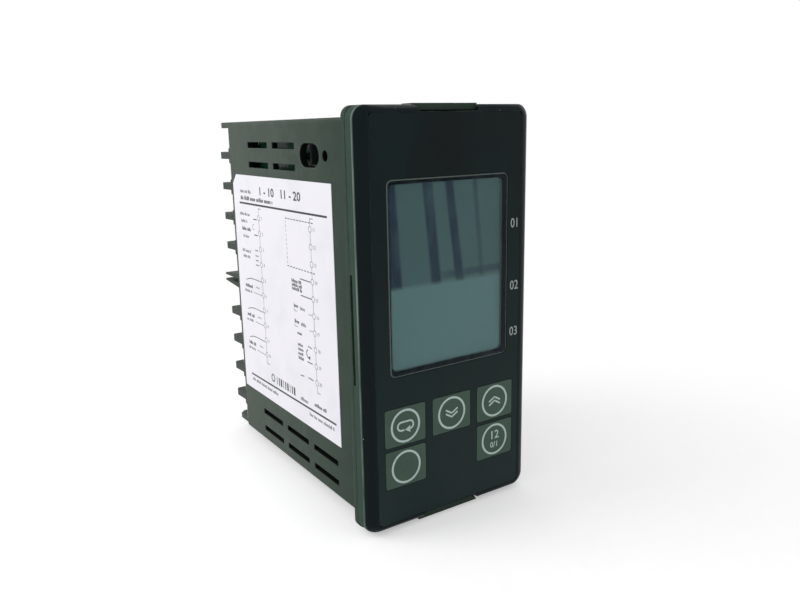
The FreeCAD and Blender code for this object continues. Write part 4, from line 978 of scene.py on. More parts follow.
@dataclass
class Print:
    """Ink on one face: flat shapes in millimetres across and up, each a closed film of ink."""

    face: Face
    film_mm: float = 0.02
    figure_share: float = 0.72
    figure_steps: int = 3
    dash_share: float = 0.66

    def __post_init__(self) -> None:
        """Start with no ink."""
        self.mesh = bmesh.new()

    def place(self, verts: list[BMVert]) -> None:
        """Move shapes drawn in the XY plane onto the face, half a film proud of it.

        Args:
            verts: the corners of the shapes.
        """
        origin, right, up, out = self.face.value
        turn = Matrix((right, up, out)).transposed().to_4x4()
        move = Matrix.Translation((origin + out * self.film_mm / 2) * MM)
        bmesh.ops.transform(self.mesh, matrix=move @ turn, verts=verts)

    def bar(self, start: Pair, end: Pair, wide: float) -> None:
        """Print a straight bar with square ends.

        Args:
            start: middle of one end.
            end: middle of the other end.
            wide: its width.
        """
        run = Vector(end) - Vector(start)
        made = bmesh.ops.create_cube(self.mesh, size=MM)["verts"]
        bmesh.ops.scale(self.mesh, vec=(run.length, wide, self.film_mm), verts=made)
        bmesh.ops.rotate(self.mesh, verts=made, matrix=Matrix.Rotation(math.atan2(run.y, run.x), 3, "Z"))
        middle = (Vector(start) + run / 2) * MM
        bmesh.ops.translate(self.mesh, verts=made, vec=(middle.x, middle.y, 0))
        self.place(made)

    def line(self, points: list[Pair], wide: float) -> None:
        """Print a line of bars from point to point."""
        for start, end in zip(points, points[1:]):
            self.bar(start, end, wide)

    def ring(self, centre: Pair, radius: float, wide: float, start: float = 0.0,
             sweep: float = 360.0, steps: int = 40) -> None:
        """Print a ring or a part of one.

        Args:
            centre: its centre.
            radius: radius of the middle of its stroke.
            wide: width of its stroke.
            start: angle at which it starts, in degrees from the right.
            sweep: angle it covers.
            steps: divisions round it.
        """
        before = set(self.mesh.verts)
        half, deep = wide / 2, self.film_mm / 2
        corners = [self.mesh.verts.new(Vector((radius + side * half, 0, lift * deep)) * MM)
                   for side, lift in ((-1, -1), (1, -1), (1, 1), (-1, 1))]
        section = self.mesh.faces.new(corners)
        full = sweep >= 360
        geom = [*corners, *section.edges] if full else [*corners, *section.edges, section]
        bmesh.ops.spin(self.mesh, geom=geom, cent=(0, 0, 0), axis=(0, 0, 1), angle=math.radians(sweep),
                       steps=steps, use_merge=full)
        if full:
            bmesh.ops.delete(self.mesh, geom=[section], context="FACES_ONLY")
        made = added_since(self.mesh, before)
        bmesh.ops.recalc_face_normals(self.mesh, faces=faces_at(made))
        bmesh.ops.rotate(self.mesh, verts=made, matrix=Matrix.Rotation(math.radians(start), 3, "Z"))
        bmesh.ops.translate(self.mesh, verts=made, vec=(centre[0] * MM, centre[1] * MM, 0))
        self.place(made)

    def wedge(self, centre: Pair, radius: float, heading: float) -> None:
        """Print a small solid triangle that points along a heading in degrees.

        Args:
            centre: its middle.
            radius: from its middle to a corner.
            heading: degrees from the right to the way it points.
        """
        before = set(self.mesh.verts)
        bmesh.ops.create_cone(self.mesh, cap_ends=True, segments=3, radius1=radius * MM, radius2=radius * MM,
                              depth=self.film_mm * MM)
        made = added_since(self.mesh, before)
        first = made[0].co
        turn = math.radians(heading) - math.atan2(first.y, first.x)
        bmesh.ops.rotate(self.mesh, verts=made, matrix=Matrix.Rotation(turn, 3, "Z"))
        bmesh.ops.translate(self.mesh, verts=made, vec=(centre[0] * MM, centre[1] * MM, 0))
        self.place(made)

    def figures(self, text: str, centre: Pair, tall: float, squeeze: float = 1.0,
                heavy: float = 0.0) -> None:
        """Print plain figures.

        Args:
            text: the figures.
            centre: middle of the first line's figures.
            tall: height of a figure.
            squeeze: width over the font's own.
            heavy: how much thicker each stroke is made.
        """
        curve = bpy.data.curves.new("figures", "FONT")
        curve.body = text
        curve.align_x, curve.align_y = "CENTER", "CENTER"
        curve.size = tall / self.figure_share * MM
        curve.resolution_u = self.figure_steps
        curve.offset = heavy * MM
        curve.extrude = self.film_mm / 2 * MM
        holder = bpy.data.objects.new("figures", curve)
        bpy.context.scene.collection.objects.link(holder)
        flat = bpy.data.meshes.new_from_object(holder.evaluated_get(bpy.context.evaluated_depsgraph_get()))
        before = set(self.mesh.verts)
        self.mesh.from_mesh(flat)
        bmesh.ops.remove_doubles(self.mesh, verts=added_since(self.mesh, before), dist=TOUCHING)
        made = added_since(self.mesh, before)
        bmesh.ops.scale(self.mesh, vec=(squeeze, 1, 1), verts=made)
        bmesh.ops.translate(self.mesh, verts=made, vec=(centre[0] * MM, centre[1] * MM, 0))
        self.place(made)
        bpy.data.objects.remove(holder)
        bpy.data.curves.remove(curve)
        bpy.data.meshes.remove(flat)

    def words(self, start: Pair, end: float, tall: float, seed: int) -> None:
        """Print a line of small text as it looks when it is too small to read: strokes in groups.

        Args:
            start: left end of the line, at half its height.
            end: how far across it goes.
            tall: height of a stroke.
            seed: which of the many arrangements.
        """
        fewest, most = 3, 8
        gap, space = tall * 0.2, tall * 0.5
        foot = start[1] - tall / 2
        chance = random.Random(seed)
        across = start[0]
        left = chance.randint(fewest, most)
        while across + space < end:
            wide = tall * chance.uniform(0.3, 0.55)
            high = tall * chance.choice((0.7, 0.7, 1.0))
            self.bar((across, foot + high / 2), (across + wide, foot + high / 2), high)
            left -= 1
            across += wide + gap + (space if left == 0 else 0)
            left = left or chance.randint(fewest, most)

    def dashes(self, start: Pair, end: Pair, wide: float, dash: float) -> None:
        """Print a dashed line, its gaps half as long as its dashes.

        Args:
            start: where it starts.
            end: where it ends.
            wide: its width.
            dash: length of a dash.
        """
        run = Vector(end) - Vector(start)
        count = max(1, round(run.length / (1.5 * dash)))
        for number in range(count):
            first = Vector(start) + run * number / count
            self.bar(tuple(first), tuple(first + run / count * self.dash_share), wide)

    def done(self, name: str, finish: Material, body: str) -> Object:
        """Turn all the ink into one piece."""
        return make_piece(name, self.mesh, finish, body)


# ---------------------------------------------------------------- the fixed case


@dataclass
class RearCase:
    """The moulded case that stays in the panel. Its thin rear rim stays crisp."""

    edge_mm: float = 0.22
    rim_mm: float = 67.6
    rim_reach: float = 0.3

    def build(self, finishes: Finishes) -> None:
        """Dress the case with softened edges."""
        soft_copy("housing_moulding", "rear_case", finishes.housing, "case", self.edge_mm,
                  lambda middle: abs(middle.y - self.rim_mm) < self.rim_reach)


@dataclass
class Terminals:
    """The two screw terminal blocks at the rear, ten cells each side. Sizes are in millimetres."""

    edge_mm: float = 0.32
    first_cell: float = 5.6
    cell_pitch: float = 8.8
    cells: int = 5
    screw_x: float = 17.1
    washer_side: float = 6.0
    washer_y: float = 70.4
    washer_thick: float = 0.8
    washer_edge: float = 0.12
    plate_edge: float = 0.1
    head_radius: float = 3.1
    head_high: float = 2.4
    dome: tuple[Pair, ...] = ((0, 0), (1.6, 0.03), (2.45, 0.2), (2.95, 0.6))
    dome_high: float = 1.1
    head_sunk: float = 0.02
    neck_radius: float = 1.7
    shank_radius: float = 1.6
    shank_end: float = 66.7
    thread_deep: float = 0.2
    thread_top: float = 0.2
    thread_step: float = 0.25
    point_high: float = 0.3
    point_in: float = 0.5
    slot_wide: float = 0.9
    slot_deep: float = 1.3
    cross_wide: float = 0.76
    cross_long: float = 3.5
    cross_deep: float = 1.5
    cut_past: float = 1.0
    twist_seed: int = 7
    square_from: float = 2.7
    number_x: float = 9.5
    number_tall: float = 2.6

    def one_screw(self) -> Mesh:
        """Model one screw about its axis, head up, with its captive square washer.

        Returns:
            The screw's mesh, its washer's foot at height 0.
        """
        mesh = bmesh.new()
        top = self.washer_thick + self.head_high
        reach = self.washer_y - self.shank_end
        under = self.washer_thick - self.head_sunk
        steps = int((reach - self.point_high) / self.thread_step)
        thread = [(self.shank_radius - self.thread_deep * (step % 2),
                   self.thread_top - self.thread_step * step) for step in range(steps)]
        add_turned(mesh, [*((radius, top - drop) for radius, drop in self.dome),
                          (self.head_radius, top - self.dome_high), (self.head_radius, under),
                          (self.neck_radius, under), *thread,
                          (self.shank_radius - self.point_in, -reach), (0, -reach)], (0, 0, 0), (0, 0, 1))
        made = to_data("screw_head", mesh)
        for name, size_x, size_y, deep in (
                ("screwdriver_slot", 2 * (self.head_radius + self.cut_past), self.slot_wide, self.slot_deep),
                ("screwdriver_cross", self.cross_wide, self.cross_long, self.cross_deep)):
            tool = bmesh.new()
            add_block(tool, (-size_x / 2, -size_y / 2, top - deep),
                      (size_x / 2, size_y / 2, top + self.cut_past))
            made = combine(made, to_data(name, tool), Kept.OUTSIDE)
        whole = bmesh.new()
        whole.from_mesh(made)
        side = self.washer_side / 2
        add_block(whole, (-side, -side, 0.0), (side, side, self.washer_thick), self.washer_edge)
        whole.to_mesh(made)
        whole.free()
        return made

    def build(self, finishes: Finishes) -> None:
        """Dress the blocks and plates, and set the twenty screws.

        Args:
            finishes: the materials.
        """
        for half in ("upper", "lower"):
            node = f"terminal_block_{half}"
            soft_copy(f"{half}_terminal_moulding", node, finishes.block, "case", self.edge_mm)
        soft_copy("terminal_clamp_plates", "terminal_plates", finishes.nickel, "case", self.plate_edge)
        self.set_screws(finishes)
        self.print_numbers(finishes)

    def set_screws(self, finishes: Finishes) -> None:
        """Set the twenty screws, each left at a turn of its own, on their square washers.

        Args:
            finishes: the materials.
        """
        screw = self.one_screw()
        chance = random.Random(self.twist_seed)
        turn = Matrix.Rotation(-math.pi / 2, 4, "X")
        mesh = bmesh.new()
        for side in (-1, 1):
            for level in range(-self.cells, self.cells):
                before = set(mesh.verts)
                mesh.from_mesh(screw)
                made = added_since(mesh, before)
                twist = Matrix.Rotation(chance.uniform(0, math.pi), 4, "Z")
                spot = moved((side * self.screw_x, self.washer_y, self.cell_height(level)))
                turned = [vert for vert in made if not self.stays_square(vert)]
                bmesh.ops.transform(mesh, matrix=twist, verts=turned)
                bmesh.ops.transform(mesh, matrix=spot @ turn, verts=made)
        bpy.data.meshes.remove(screw)
        make_piece("clamp_screws_with_washers", mesh, finishes.zinc, "case", ("terminal_screws",))

    def print_numbers(self, finishes: Finishes) -> None:
        """Print the numbers 1 to 20 beside the terminals, down one column and then the other.

        Args:
            finishes: the materials.
        """
        numbers = Print(Face.SPINE)
        for level in range(2 * self.cells):
            height = self.cell_height(self.cells - 1 - level)
            numbers.figures(f"{level + 1}", (self.number_x, height), self.number_tall)
            numbers.figures(f"{level + 1 + 2 * self.cells}", (-self.number_x, height), self.number_tall)
        numbers.done("terminal_numbers", finishes.pale_ink, "case")

    def cell_height(self, level: int) -> float:
        """Give the height of a row of cells: 0 and up lie above the middle, -1 and down below it."""
        step = level if level >= 0 else -level - 1
        return math.copysign(self.first_cell + self.cell_pitch * step, level + 0.5)

    def stays_square(self, vert: BMVert) -> bool:
        """Say whether a corner keeps its place when the screw is turned in its washer.

        It holds for the washer's corners. It also holds for half of the corners under the head, which lie as
        low and as far out, so the head's side is drawn askew.

        Args:
            vert: a corner of a screw about its axis.

        Returns:
            Whether it stays.
        """
        within = -0.01 * MM <= vert.co.z <= (self.washer_thick + 0.001) * MM
        return within and max(abs(vert.co.x), abs(vert.co.y)) > self.square_from * MM


# ---------------------------------------------------------------- the draw-out front unit


@dataclass
class Bezel:
    """The front moulding with its printed sheet and seal. The rim round the sheet stays crisp."""

    edge_mm: float = 0.15
    rim_mm: float = -4.5
    outline_x: float = 22.5
    outline_z: float = 46.5
    half_wide: float = 24.0
    half_tall: float = 48.0
    front_mm: float = -6.0
    crown_flank: float = 3.0
    crown_ends: float = 1.5
    crown_deep: float = 1.6
    corner_front: float = 1.2
    corner_side: float = 3.0
    corner_back: float = 2.3
    corner_grows: float = 0.5
    clear_mm: float = 0.01
    blend_mm: float = 0.45
    blend_steps: int = 4
    steps: int = 10
    crowding: float = 1.6
    ahead_mm: float = 0.3
    behind_mm: float = 19.0
    seal_edge: float = 0.3

    def build(self, finishes: Finishes) -> None:
        """Dress the bezel, the sheet and the seal.

        Args:
            finishes: the materials.
        """
        mesh = joined_copy("front_panel")
        soften(mesh, self.edge_mm, self.stays_crisp)
        rounded = combine(to_data("sharp_cornered_bezel", mesh), self.envelope(), Kept.SHARED)
        mesh = bmesh.new()
        mesh.from_mesh(rounded)
        bpy.data.meshes.remove(rounded)
        make_piece("bezel_moulding", mesh, finishes.bezel, "front_unit", ("front_panel",))
        dress_node("front_sheet", finishes.sheet)
        soft_copy("panel_seal_ring", "front_seal", finishes.rubber, "front_unit", self.seal_edge)

    def front_outline(self, deep: float) -> Triple:
        """Give the outline of the front rounding at a depth behind the front face.

        Args:
            deep: the depth in millimetres.

        Returns:
            Half its width, half its height and the radius of its corners.
        """
        halves = []
        for half, wide in ((self.half_wide, self.crown_flank), (self.half_tall, self.crown_ends)):
            radius = (wide ** 2 + self.crown_deep ** 2) / (2 * self.crown_deep)
            begins = self.crown_deep - self.blend_mm
            share = min(deep, begins)
            reach = math.sqrt(radius ** 2 - (radius - share) ** 2)
            if deep > begins:
                # A parabola takes the crease off where the rounding meets the side.
                slope = (radius - begins) / reach
                length = 2 * (wide - reach) / slope
                left = max(0.0, 1 - (deep - begins) / length)
                reach = wide - (wide - reach) * left ** 2
            halves.append(half - wide + reach + self.clear_mm)
        grown = min(1, deep / self.corner_grows) ** 0.5
        corner = self.corner_front + (self.corner_side - self.corner_front) * grown
        return halves[0], halves[1], corner

    def envelope(self) -> Mesh:
        """Make a block with the front rounding carried round its corners, larger than the bezel elsewhere.

        Returns:
            Its mesh.
        """
        mesh = bmesh.new()
        rings = []
        begins = self.crown_deep - self.blend_mm
        # The rings crowd towards the front, where the rounding turns most, and cover the blend evenly.
        rounding = [begins * (step / self.steps) ** self.crowding for step in range(self.steps + 1)]
        blend = [begins + self.blend_mm * step / self.blend_steps
                 for step in range(1, 2 * self.blend_steps + 1)]
        depths = [-self.ahead_mm, *rounding, *blend, self.behind_mm]
        for deep in depths:
            wide, tall, corner = self.front_outline(max(deep, 0))
            if deep > self.crown_deep + self.blend_mm:
                corner = self.corner_back
            ring = []
            for side_x, side_z, start in ((1, 1, 0), (-1, 1, 90), (-1, -1, 180), (1, -1, 270)):
                for step in range(self.steps + 1):
                    turn = math.radians(start + 90 * step / self.steps)
                    ring.append(mesh.verts.new(Vector((
                        side_x * (wide - corner) + corner * math.cos(turn), self.front_mm + deep,
                        side_z * (tall - corner) + corner * math.sin(turn))) * MM))
            rings.append([mesh.edges.new(pair) for pair in zip(ring, ring[1:] + ring[:1])])
        for near, beyond in zip(rings, rings[1:]):
            bmesh.ops.bridge_loops(mesh, edges=near + beyond)
        for cap in (rings[0], rings[-1]):
            bmesh.ops.contextual_create(mesh, geom=cap)
        bmesh.ops.recalc_face_normals(mesh, faces=mesh.faces[:])
        return to_data("rounded_envelope", mesh)

    def stays_crisp(self, middle: Vector) -> bool:
        """Spare the rim round the sheet and everything inside the outline."""
        return middle.y < self.rim_mm or (abs(middle.x) < self.outline_x and abs(middle.z) < self.outline_z)


@dataclass
class Display:
    """The window with its matt rim and printed mask, and the parts that show through it."""

    rim_wide: float = 0.32
    rim_steps: int = 3
    corner: float = 1.4
    corner_steps: int = 8
    mask_inset: float = 0.1
    mask_wide: float = 0.35
    mask_thick: float = 0.03

    def build(self, finishes: Finishes) -> None:
        """Model the window and its mask and dress the parts behind it.

        Args:
            finishes: the materials.
        """
        low, high = (Vector(end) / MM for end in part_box("display_window"))
        self.make_window(low, high, finishes)
        self.make_mask(low, high, finishes)
        for node, finish in (("lcd_cell", finishes.display), ("lcd_frame", finishes.holder),
                             ("lcd_contact_strips", finishes.zebra), ("light_guide", finishes.guide),
                             ("backlight_leds", finishes.lamp)):
            dress_node(node, finish)

    def make_window(self, low: Vector, high: Vector, finishes: Finishes) -> None:
        """Model the window: a clear pane with round corners and a bevelled matt rim, painted lighter as a
        highlight.

        Args:
            low: its lowest corner in millimetres.
            high: its highest corner.
            finishes: the materials.
        """
        mesh = bmesh.new()
        add_block(mesh, low, high)
        upright = [edge for edge in mesh.edges
                   if abs(edge.verts[0].co.y - edge.verts[1].co.y) > 0.9 * (high.y - low.y) * MM]
        bmesh.ops.bevel(mesh, geom=upright, offset=self.corner * MM, affect="EDGES",
                        segments=self.corner_steps, profile=0.5, material=-1)
        front = [edge for edge in mesh.edges if all(vert.co.y < (low.y + 0.01) * MM for vert in edge.verts)]
        # The bevel's faces take the second material, the matt rim, painted lighter as a highlight.
        bmesh.ops.bevel(mesh, geom=front, offset=self.rim_wide * MM, affect="EDGES", segments=self.rim_steps,
                        profile=0.5, material=1)
        bmesh.ops.recalc_face_normals(mesh, faces=mesh.faces[:])
        pane = make_piece("clear_window_pane", mesh, finishes.window, "front_unit", ("display_window",))
        pane.data.materials.append(finishes.rim)

    def make_mask(self, low: Vector, high: Vector, finishes: Finishes) -> None:
        """Print the black mask round the window's back, as a closed film.

        Args:
            low: the window's lowest corner in millimetres.
            high: its highest corner.
            finishes: the materials.
        """
        mesh = bmesh.new()
        back = high.y + self.mask_thick / 2
        span = high - low
        less = 2 * self.mask_inset
        bmesh.ops.create_grid(mesh, x_segments=1, y_segments=1, size=0.5 * MM)
        bmesh.ops.scale(mesh, vec=(span.x - less, span.z - less, 1), verts=mesh.verts[:])
        bmesh.ops.bevel(mesh, geom=mesh.verts[:], offset=self.corner * MM, affect="VERTICES",
                        segments=self.corner_steps, profile=0.5, material=-1)
        ring = bmesh.ops.inset_region(mesh, faces=mesh.faces[:], thickness=self.mask_wide * MM,
                                      use_boundary=True)
        middle = [face for face in mesh.faces if face not in ring["faces"]]
        bmesh.ops.delete(mesh, geom=middle, context="FACES_ONLY")
        bmesh.ops.solidify(mesh, geom=mesh.faces[:], thickness=self.mask_thick * MM)
        bmesh.ops.recalc_face_normals(mesh, faces=mesh.faces[:])
        bmesh.ops.rotate(mesh, verts=mesh.verts[:], matrix=Matrix.Rotation(math.pi / 2, 3, "X"))
        centre = Vector(((low.x + high.x) / 2, back, (low.z + high.z) / 2)) * MM
        bmesh.ops.translate(mesh, verts=mesh.verts[:], vec=centre)
        make_piece("window_mask_print", mesh, finishes.mask, "front_unit")


class Way(Enum):
    """The way a pair of chevrons points."""

    UP = 1
    DOWN = -1


@dataclass
class Keys:
    """The five push keys, their signs and the switches behind them, in millimetres.

    Each of function_rows has its figures, their height over the key's middle, their size and added weight.
    """

    column: float = 13.3
    upper: float = -23.1
    lower: float = -33.2
    cap_edge: float = 0.18
    plunger_edge: float = 0.15
    body_edge: float = 0.12
    stroke: float = 0.52
    fine_stroke: float = 0.42
    ring_radius: float = 3.78
    loop_reach: float = 1.15
    loop_radius: float = 1.0
    loop_steps: int = 14
    arrow_radius: float = 0.95
    arrow_back: float = 0.35
    chevron_half: float = 1.75
    chevron_high: float = 1.05
    chevron_tips: tuple[float, ...] = (0.1, 1.05)
    function_rows: tuple[tuple[str, float, float, float], ...] = (
        ("12", 1.05, 2.2, 0.03), ("0/1", -1.5, 1.5, 0.02))
    sink: float = 0.025

    def build(self, finishes: Finishes) -> None:
        """Dress the keys and print their signs.

        Args:
            finishes: the materials.
        """
        for name in ("mode", "level", "down", "up", "function"):
            cap = soft_copy(f"{name}_key_cap", f"{name}_key", finishes.key, f"{name}_push", self.cap_edge)
            # The cap sits a little over a film deeper, so its ink stays within the solids' box.
            cap.data.transform(Matrix.Translation((0, self.sink * MM, 0)))
            soft_copy(f"{name}_plunger", f"{name}_button", finishes.switch, f"{name}_push", self.plunger_edge)
        soft_copy("key_switch_bodies", "switch_bodies", finishes.switch, "front_unit", self.body_edge)
        self.print_mode(finishes.pale_ink)
        self.print_level(finishes.pale_ink)
        self.print_chevrons("down", 0.0, Way.DOWN, finishes.pale_ink)
        self.print_chevrons("up", self.column, Way.UP, finishes.pale_ink)
        self.print_function(finishes.pale_ink)

    def ringed(self, across: float, height: float) -> Print:
        """Start a key's sign with its ring.

        Args:
            across: the key's middle across the front.
            height: its middle's height.

        Returns:
            The sign, for more to be printed on it.
        """
        sign = Print(Face.KEYS)
        sign.ring((across, height), self.ring_radius, self.stroke)
        return sign

    def print_mode(self, ink: Material) -> None:
        """Print a flat loop that turns back with an arrow head.

        Args:
            ink: the ink.
        """
        across, height = -self.column, self.upper
        sign = self.ringed(across, height)
        reach, radius, stroke = self.loop_reach, self.loop_radius, self.fine_stroke
        top, foot = height + radius, height - radius
        sign.ring((across - reach, height), radius, stroke, 90, 180, self.loop_steps)
        sign.ring((across + reach, height), radius, stroke, -90, 180, self.loop_steps)
        sign.bar((across - reach, top), (across + reach, top), stroke)
        sign.bar((across - reach, foot), (across - self.arrow_back, foot), stroke)
        sign.wedge((across + reach - self.arrow_back, foot), self.arrow_radius, 180)
        sign.done("mode_key_sign", ink, "mode_push")

    def print_level(self, ink: Material) -> None:
        """Print a ring on the level key."""
        self.ringed(-self.column, self.lower).done("level_key_sign", ink, "level_push")

    def print_chevrons(self, name: str, across: float, way: Way, ink: Material) -> None:
        """Print two chevrons that point up or down.

        Args:
            name: the key.
            across: the key's middle across the front.
            way: the way they point.
            ink: the ink.
        """
        sign = self.ringed(across, self.upper)
        half = self.chevron_half
        for reach in self.chevron_tips:
            tip = self.upper + way.value * reach
            foot = tip - way.value * self.chevron_high
            sign.line([(across - half, foot), (across, tip), (across + half, foot)], self.fine_stroke)
        sign.done(f"{name}_key_sign", ink, f"{name}_push")

    def print_function(self, ink: Material) -> None:
        """Print plain figures in a ring on the function key.

        Args:
            ink: the ink.
        """
        sign = self.ringed(self.column, self.lower)
        for text, lift, tall, heavy in self.function_rows:
            sign.figures(text, (self.column, self.lower + lift), tall, heavy=heavy)
        sign.done("function_key_sign", ink, "function_push")


@dataclass
class Electronics:
    """The boards and what they carry, in millimetres. An outline's points are a reach and a height."""

    board_in: float = 16.9
    board_out: float = 18.5
    core_y: float = 30.0
    can_y: float = 48.0
    can_z: tuple[float, ...] = (10.0, 22.0)
    can_radius: float = 5.0
    can_end: float = -2.9
    crimp: tuple[float, ...] = (2.9, 2.3, 1.9, 1.3)
    crimp_deep: float = 0.45
    lip_wide: float = 1.1
    lip_deep: float = 0.3
    sleeve_top: float = 0.5
    sleeve_foot: float = 0.4
    can_cap: tuple[Pair, ...] = ((1.25, 0.08), (1.05, 0.3), (1.05, 0.45))
    relay_y: float = 48.0
    relay_z: tuple[float, ...] = (-15.0, 15.0)
    choke_z: float = -28.0
    choke_radius: float = 6.2
    choke_bore: float = 2.4
    choke_thick: float = 4.4
    core_edge: float = 0.3
    wire: float = 0.75
    turns: int = 22
    open_degrees: float = 40.0
    loop_steps: int = 16
    wire_sides: int = 6
    chip_half: float = 7.0
    chip_front: float = 3.6
    chip_legs: int = 11
    chip_leg_pitch: float = 1.1
    chip_leg_wide: float = 0.45
    optic_z: tuple[float, ...] = (-19.5, -6.5, 6.5, 19.5)
    optic_half: float = 3.5
    optic_legs: int = 4
    optic_leg_pitch: float = 1.7
    optic_leg_wide: float = 0.6
    leg_outline: tuple[Pair, ...] = (
        (-0.1, 0.85), (0.45, 0.85), (0.62, 0.17), (1.1, 0.15), (1.1, 0.0), (0.5, 0.0), (0.36, 0.7),
        (-0.1, 0.7))
    pin_pitch: float = 2.5
    header_y: float = 6.5
    header_foot: float = -15.0
    header_pins: int = 13
    contact_y: float = 60.0
    contact_feet: Pair = (-34.0, 14.0)
    contact_pitch: float = 5.0
    contacts: int = 5
    coil_rows: Pair = (-12.0, 4.0)
    relay_legs: tuple[Pair, ...] = ((-3.5, -7.5), (3.5, -7.5), (-3.5, 4.5), (3.5, 4.5), (0.0, 8.0))
    joint_outline: tuple[Pair, ...] = (
        (0, 1.05), (0.22, 1.0), (0.3, 0.8), (0.42, 0.45), (0.7, 0.15), (0.95, 0.0), (0, 0))

    def build(self, finishes: Finishes) -> None:
        """Dress the boards and their parts, and add legs, joints and windings.

        Args:
            finishes: the materials.
        """
        for node in ("display_board", "power_board", "io_board", "board_brace"):
            dress_node(node, finishes.board)
        for name, node, finish, edge_mm in (
                ("pin_header_blocks", "board_headers", finishes.connector, 0.2),
                ("controller_chip", "microcontroller", finishes.epoxy, 0.15),
                ("interface_chips", "io_chips", finishes.epoxy, 0.15),
                ("ferrite_core_halves", "transformer_core", finishes.ferrite, 0.4),
                ("taped_coil", "transformer_coil", finishes.tape, 0.8),
                ("finned_heat_sink", "heat_sink", finishes.anodised, 0.15),
                ("relay_cans", "output_relays", finishes.relay, 0.5),
                ("setup_plug_socket", "setup_socket", finishes.connector, 0.2)):
            soft_copy(name, node, finish, "front_unit", edge_mm)
        dress_node("setup_pins", finishes.tin)
        self.make_cans(finishes)
        self.make_choke(finishes)
        self.make_chip_legs(finishes)
        self.make_joints(finishes)

    def make_cans(self, finishes: Finishes) -> None:
        """Turn the smoothing capacitors: a sleeve crimped over the can, and the can's bare end.

        Args:
            finishes: the materials.
        """
        sleeves, ends = bmesh.new(), bmesh.new()
        length = self.can_end + self.board_in
        rim = self.can_radius
        lip, floor, groove = rim - self.lip_wide, length - self.lip_deep, rim - self.crimp_deep
        sleeve = [(0, floor), (lip, floor), (lip, length), (rim - self.sleeve_top, length),
                  (rim, length - self.sleeve_top), *zip((rim, groove, groove, rim), self.crimp),
                  (rim, self.sleeve_foot), (rim - self.sleeve_foot, 0), (0, 0)]
        cap = [(rim - inward, length - drop) for inward, drop in self.can_cap]
        for height in self.can_z:
            foot = (-self.board_in, self.can_y, height)
            add_turned(sleeves, sleeve, foot, (1, 0, 0))
            add_turned(ends, [(0, cap[0][1]), *cap, (0, cap[-1][1])], foot, (1, 0, 0))
        make_piece("smoothing_capacitors", sleeves, finishes.sleeve, "front_unit", ("power_capacitors",))
        make_piece("capacitor_can_ends", ends, finishes.can, "front_unit")

    def make_choke(self, finishes: Finishes) -> None:
        """Wind the noise choke: a ring core with one layer of wire round it.

        Args:
            finishes: the materials.
        """
        middle = (self.choke_radius + self.choke_bore) / 2
        half = self.choke_thick / 2
        tall = (self.choke_radius - self.choke_bore) / 2
        core, winding = bmesh.new(), bmesh.new()
        high, edge = half - self.wire, self.core_edge
        inner, outer = middle - (tall - self.wire), middle + (tall - self.wire)
        centre = (-self.board_in + half, self.can_y, self.choke_z)
        section = [(inner, high - edge), (inner + edge, high), (outer - edge, high), (outer, high - edge),
                   (outer, edge - high), (outer - edge, -high), (inner + edge, -high), (inner, edge - high)]
        add_turned(core, [*section, section[0]], centre, (1, 0, 0))
        wound = 360 - self.open_degrees
        for turn in range(self.turns):
            angle = math.radians(self.open_degrees / 2 + wound * turn / (self.turns - 1))
            outward = Vector((0, math.cos(angle), math.sin(angle)))
            self.add_loop(winding, Vector(centre) + outward * middle, outward, tall, half)
        make_piece("choke_ring_core", core, finishes.ferrite, "front_unit")
        make_piece("choke_winding", winding, finishes.wire, "front_unit", ("noise_choke",))

    def add_loop(self, mesh: BMesh, centre: Vector, outward: Vector, tall: float, half: float) -> None:
        """Add one turn of wire round the core's section, an oblong loop of round wire.

        Args:
            mesh: the mesh that gets it.
            centre: middle of the core's section there, in millimetres.
            outward: direction away from the ring's middle.
            tall: half the winding's section along it.
            half: half its section along X.
        """
        along = Vector((1, 0, 0)).cross(outward)
        radius = self.wire / 2
        rings = []
        for step in range(self.loop_steps):
            angle = math.tau * (step + 0.5) / self.loop_steps
            # The root pushes the loop out towards its corners, which makes the round loop an oblong one.
            reach = [math.copysign(abs(value) ** 0.5, value) for value in (math.cos(angle), math.sin(angle))]
            spoke = Vector((math.sin(angle), 0, 0)) + outward * math.cos(angle)
            spot = centre + outward * reach[0] * (tall - radius) + Vector((reach[1] * (half - radius), 0, 0))
            ring = [mesh.verts.new((spot + (spoke * math.cos(turn) + along * math.sin(turn)) * radius) * MM)
                    for turn in (math.tau * side / self.wire_sides for side in range(self.wire_sides))]
            rings.append([mesh.edges.new(pair) for pair in zip(ring, ring[1:] + ring[:1])])
        for near, beyond in zip(rings, rings[1:] + rings[:1]):
            bmesh.ops.bridge_loops(mesh, edges=near + beyond)

    def make_chip_legs(self, finishes: Finishes) -> None:
        """Bend the legs of the flat chips down to their boards.

        Args:
            finishes: the materials.
        """
        mesh = bmesh.new()
        for side in range(4):
            flank = moved((0, self.chip_front, 0)) @ Matrix.Rotation(side * math.pi / 2, 4, "Y")
            self.add_row(mesh, flank, self.chip_half, self.chip_legs, self.chip_leg_pitch, self.chip_leg_wide)
        board = moved((self.board_in, self.core_y, 0)) @ Matrix.Rotation(math.pi / 2, 4, "Z")
        for height in self.optic_z:
            for side in (0, 1):
                flank = board @ moved((0, 0, height)) @ Matrix.Rotation(side * math.pi, 4, "Y")
                self.add_row(mesh, flank, self.optic_half, self.optic_legs, self.optic_leg_pitch,
                             self.optic_leg_wide)
        make_piece("bent_chip_legs", mesh, finishes.tin, "front_unit")

    def add_row(self, mesh: BMesh, flank: Matrix, half: float, count: int, pitch: float, wide: float) -> None:
        """Add the row of legs along one flank of a chip.

        Args:
            mesh: the mesh that gets them.
            flank: from a frame at the chip's middle, with X out of the flank, to the world.
            half: how far the flank lies from the middle, in millimetres.
            count: how many legs.
            pitch: distance from one to the next.
            wide: width of a leg.
        """
        for number in range(count):
            self.add_leg(mesh, flank @ moved((half, 0, (number - (count - 1) / 2) * pitch)), wide)

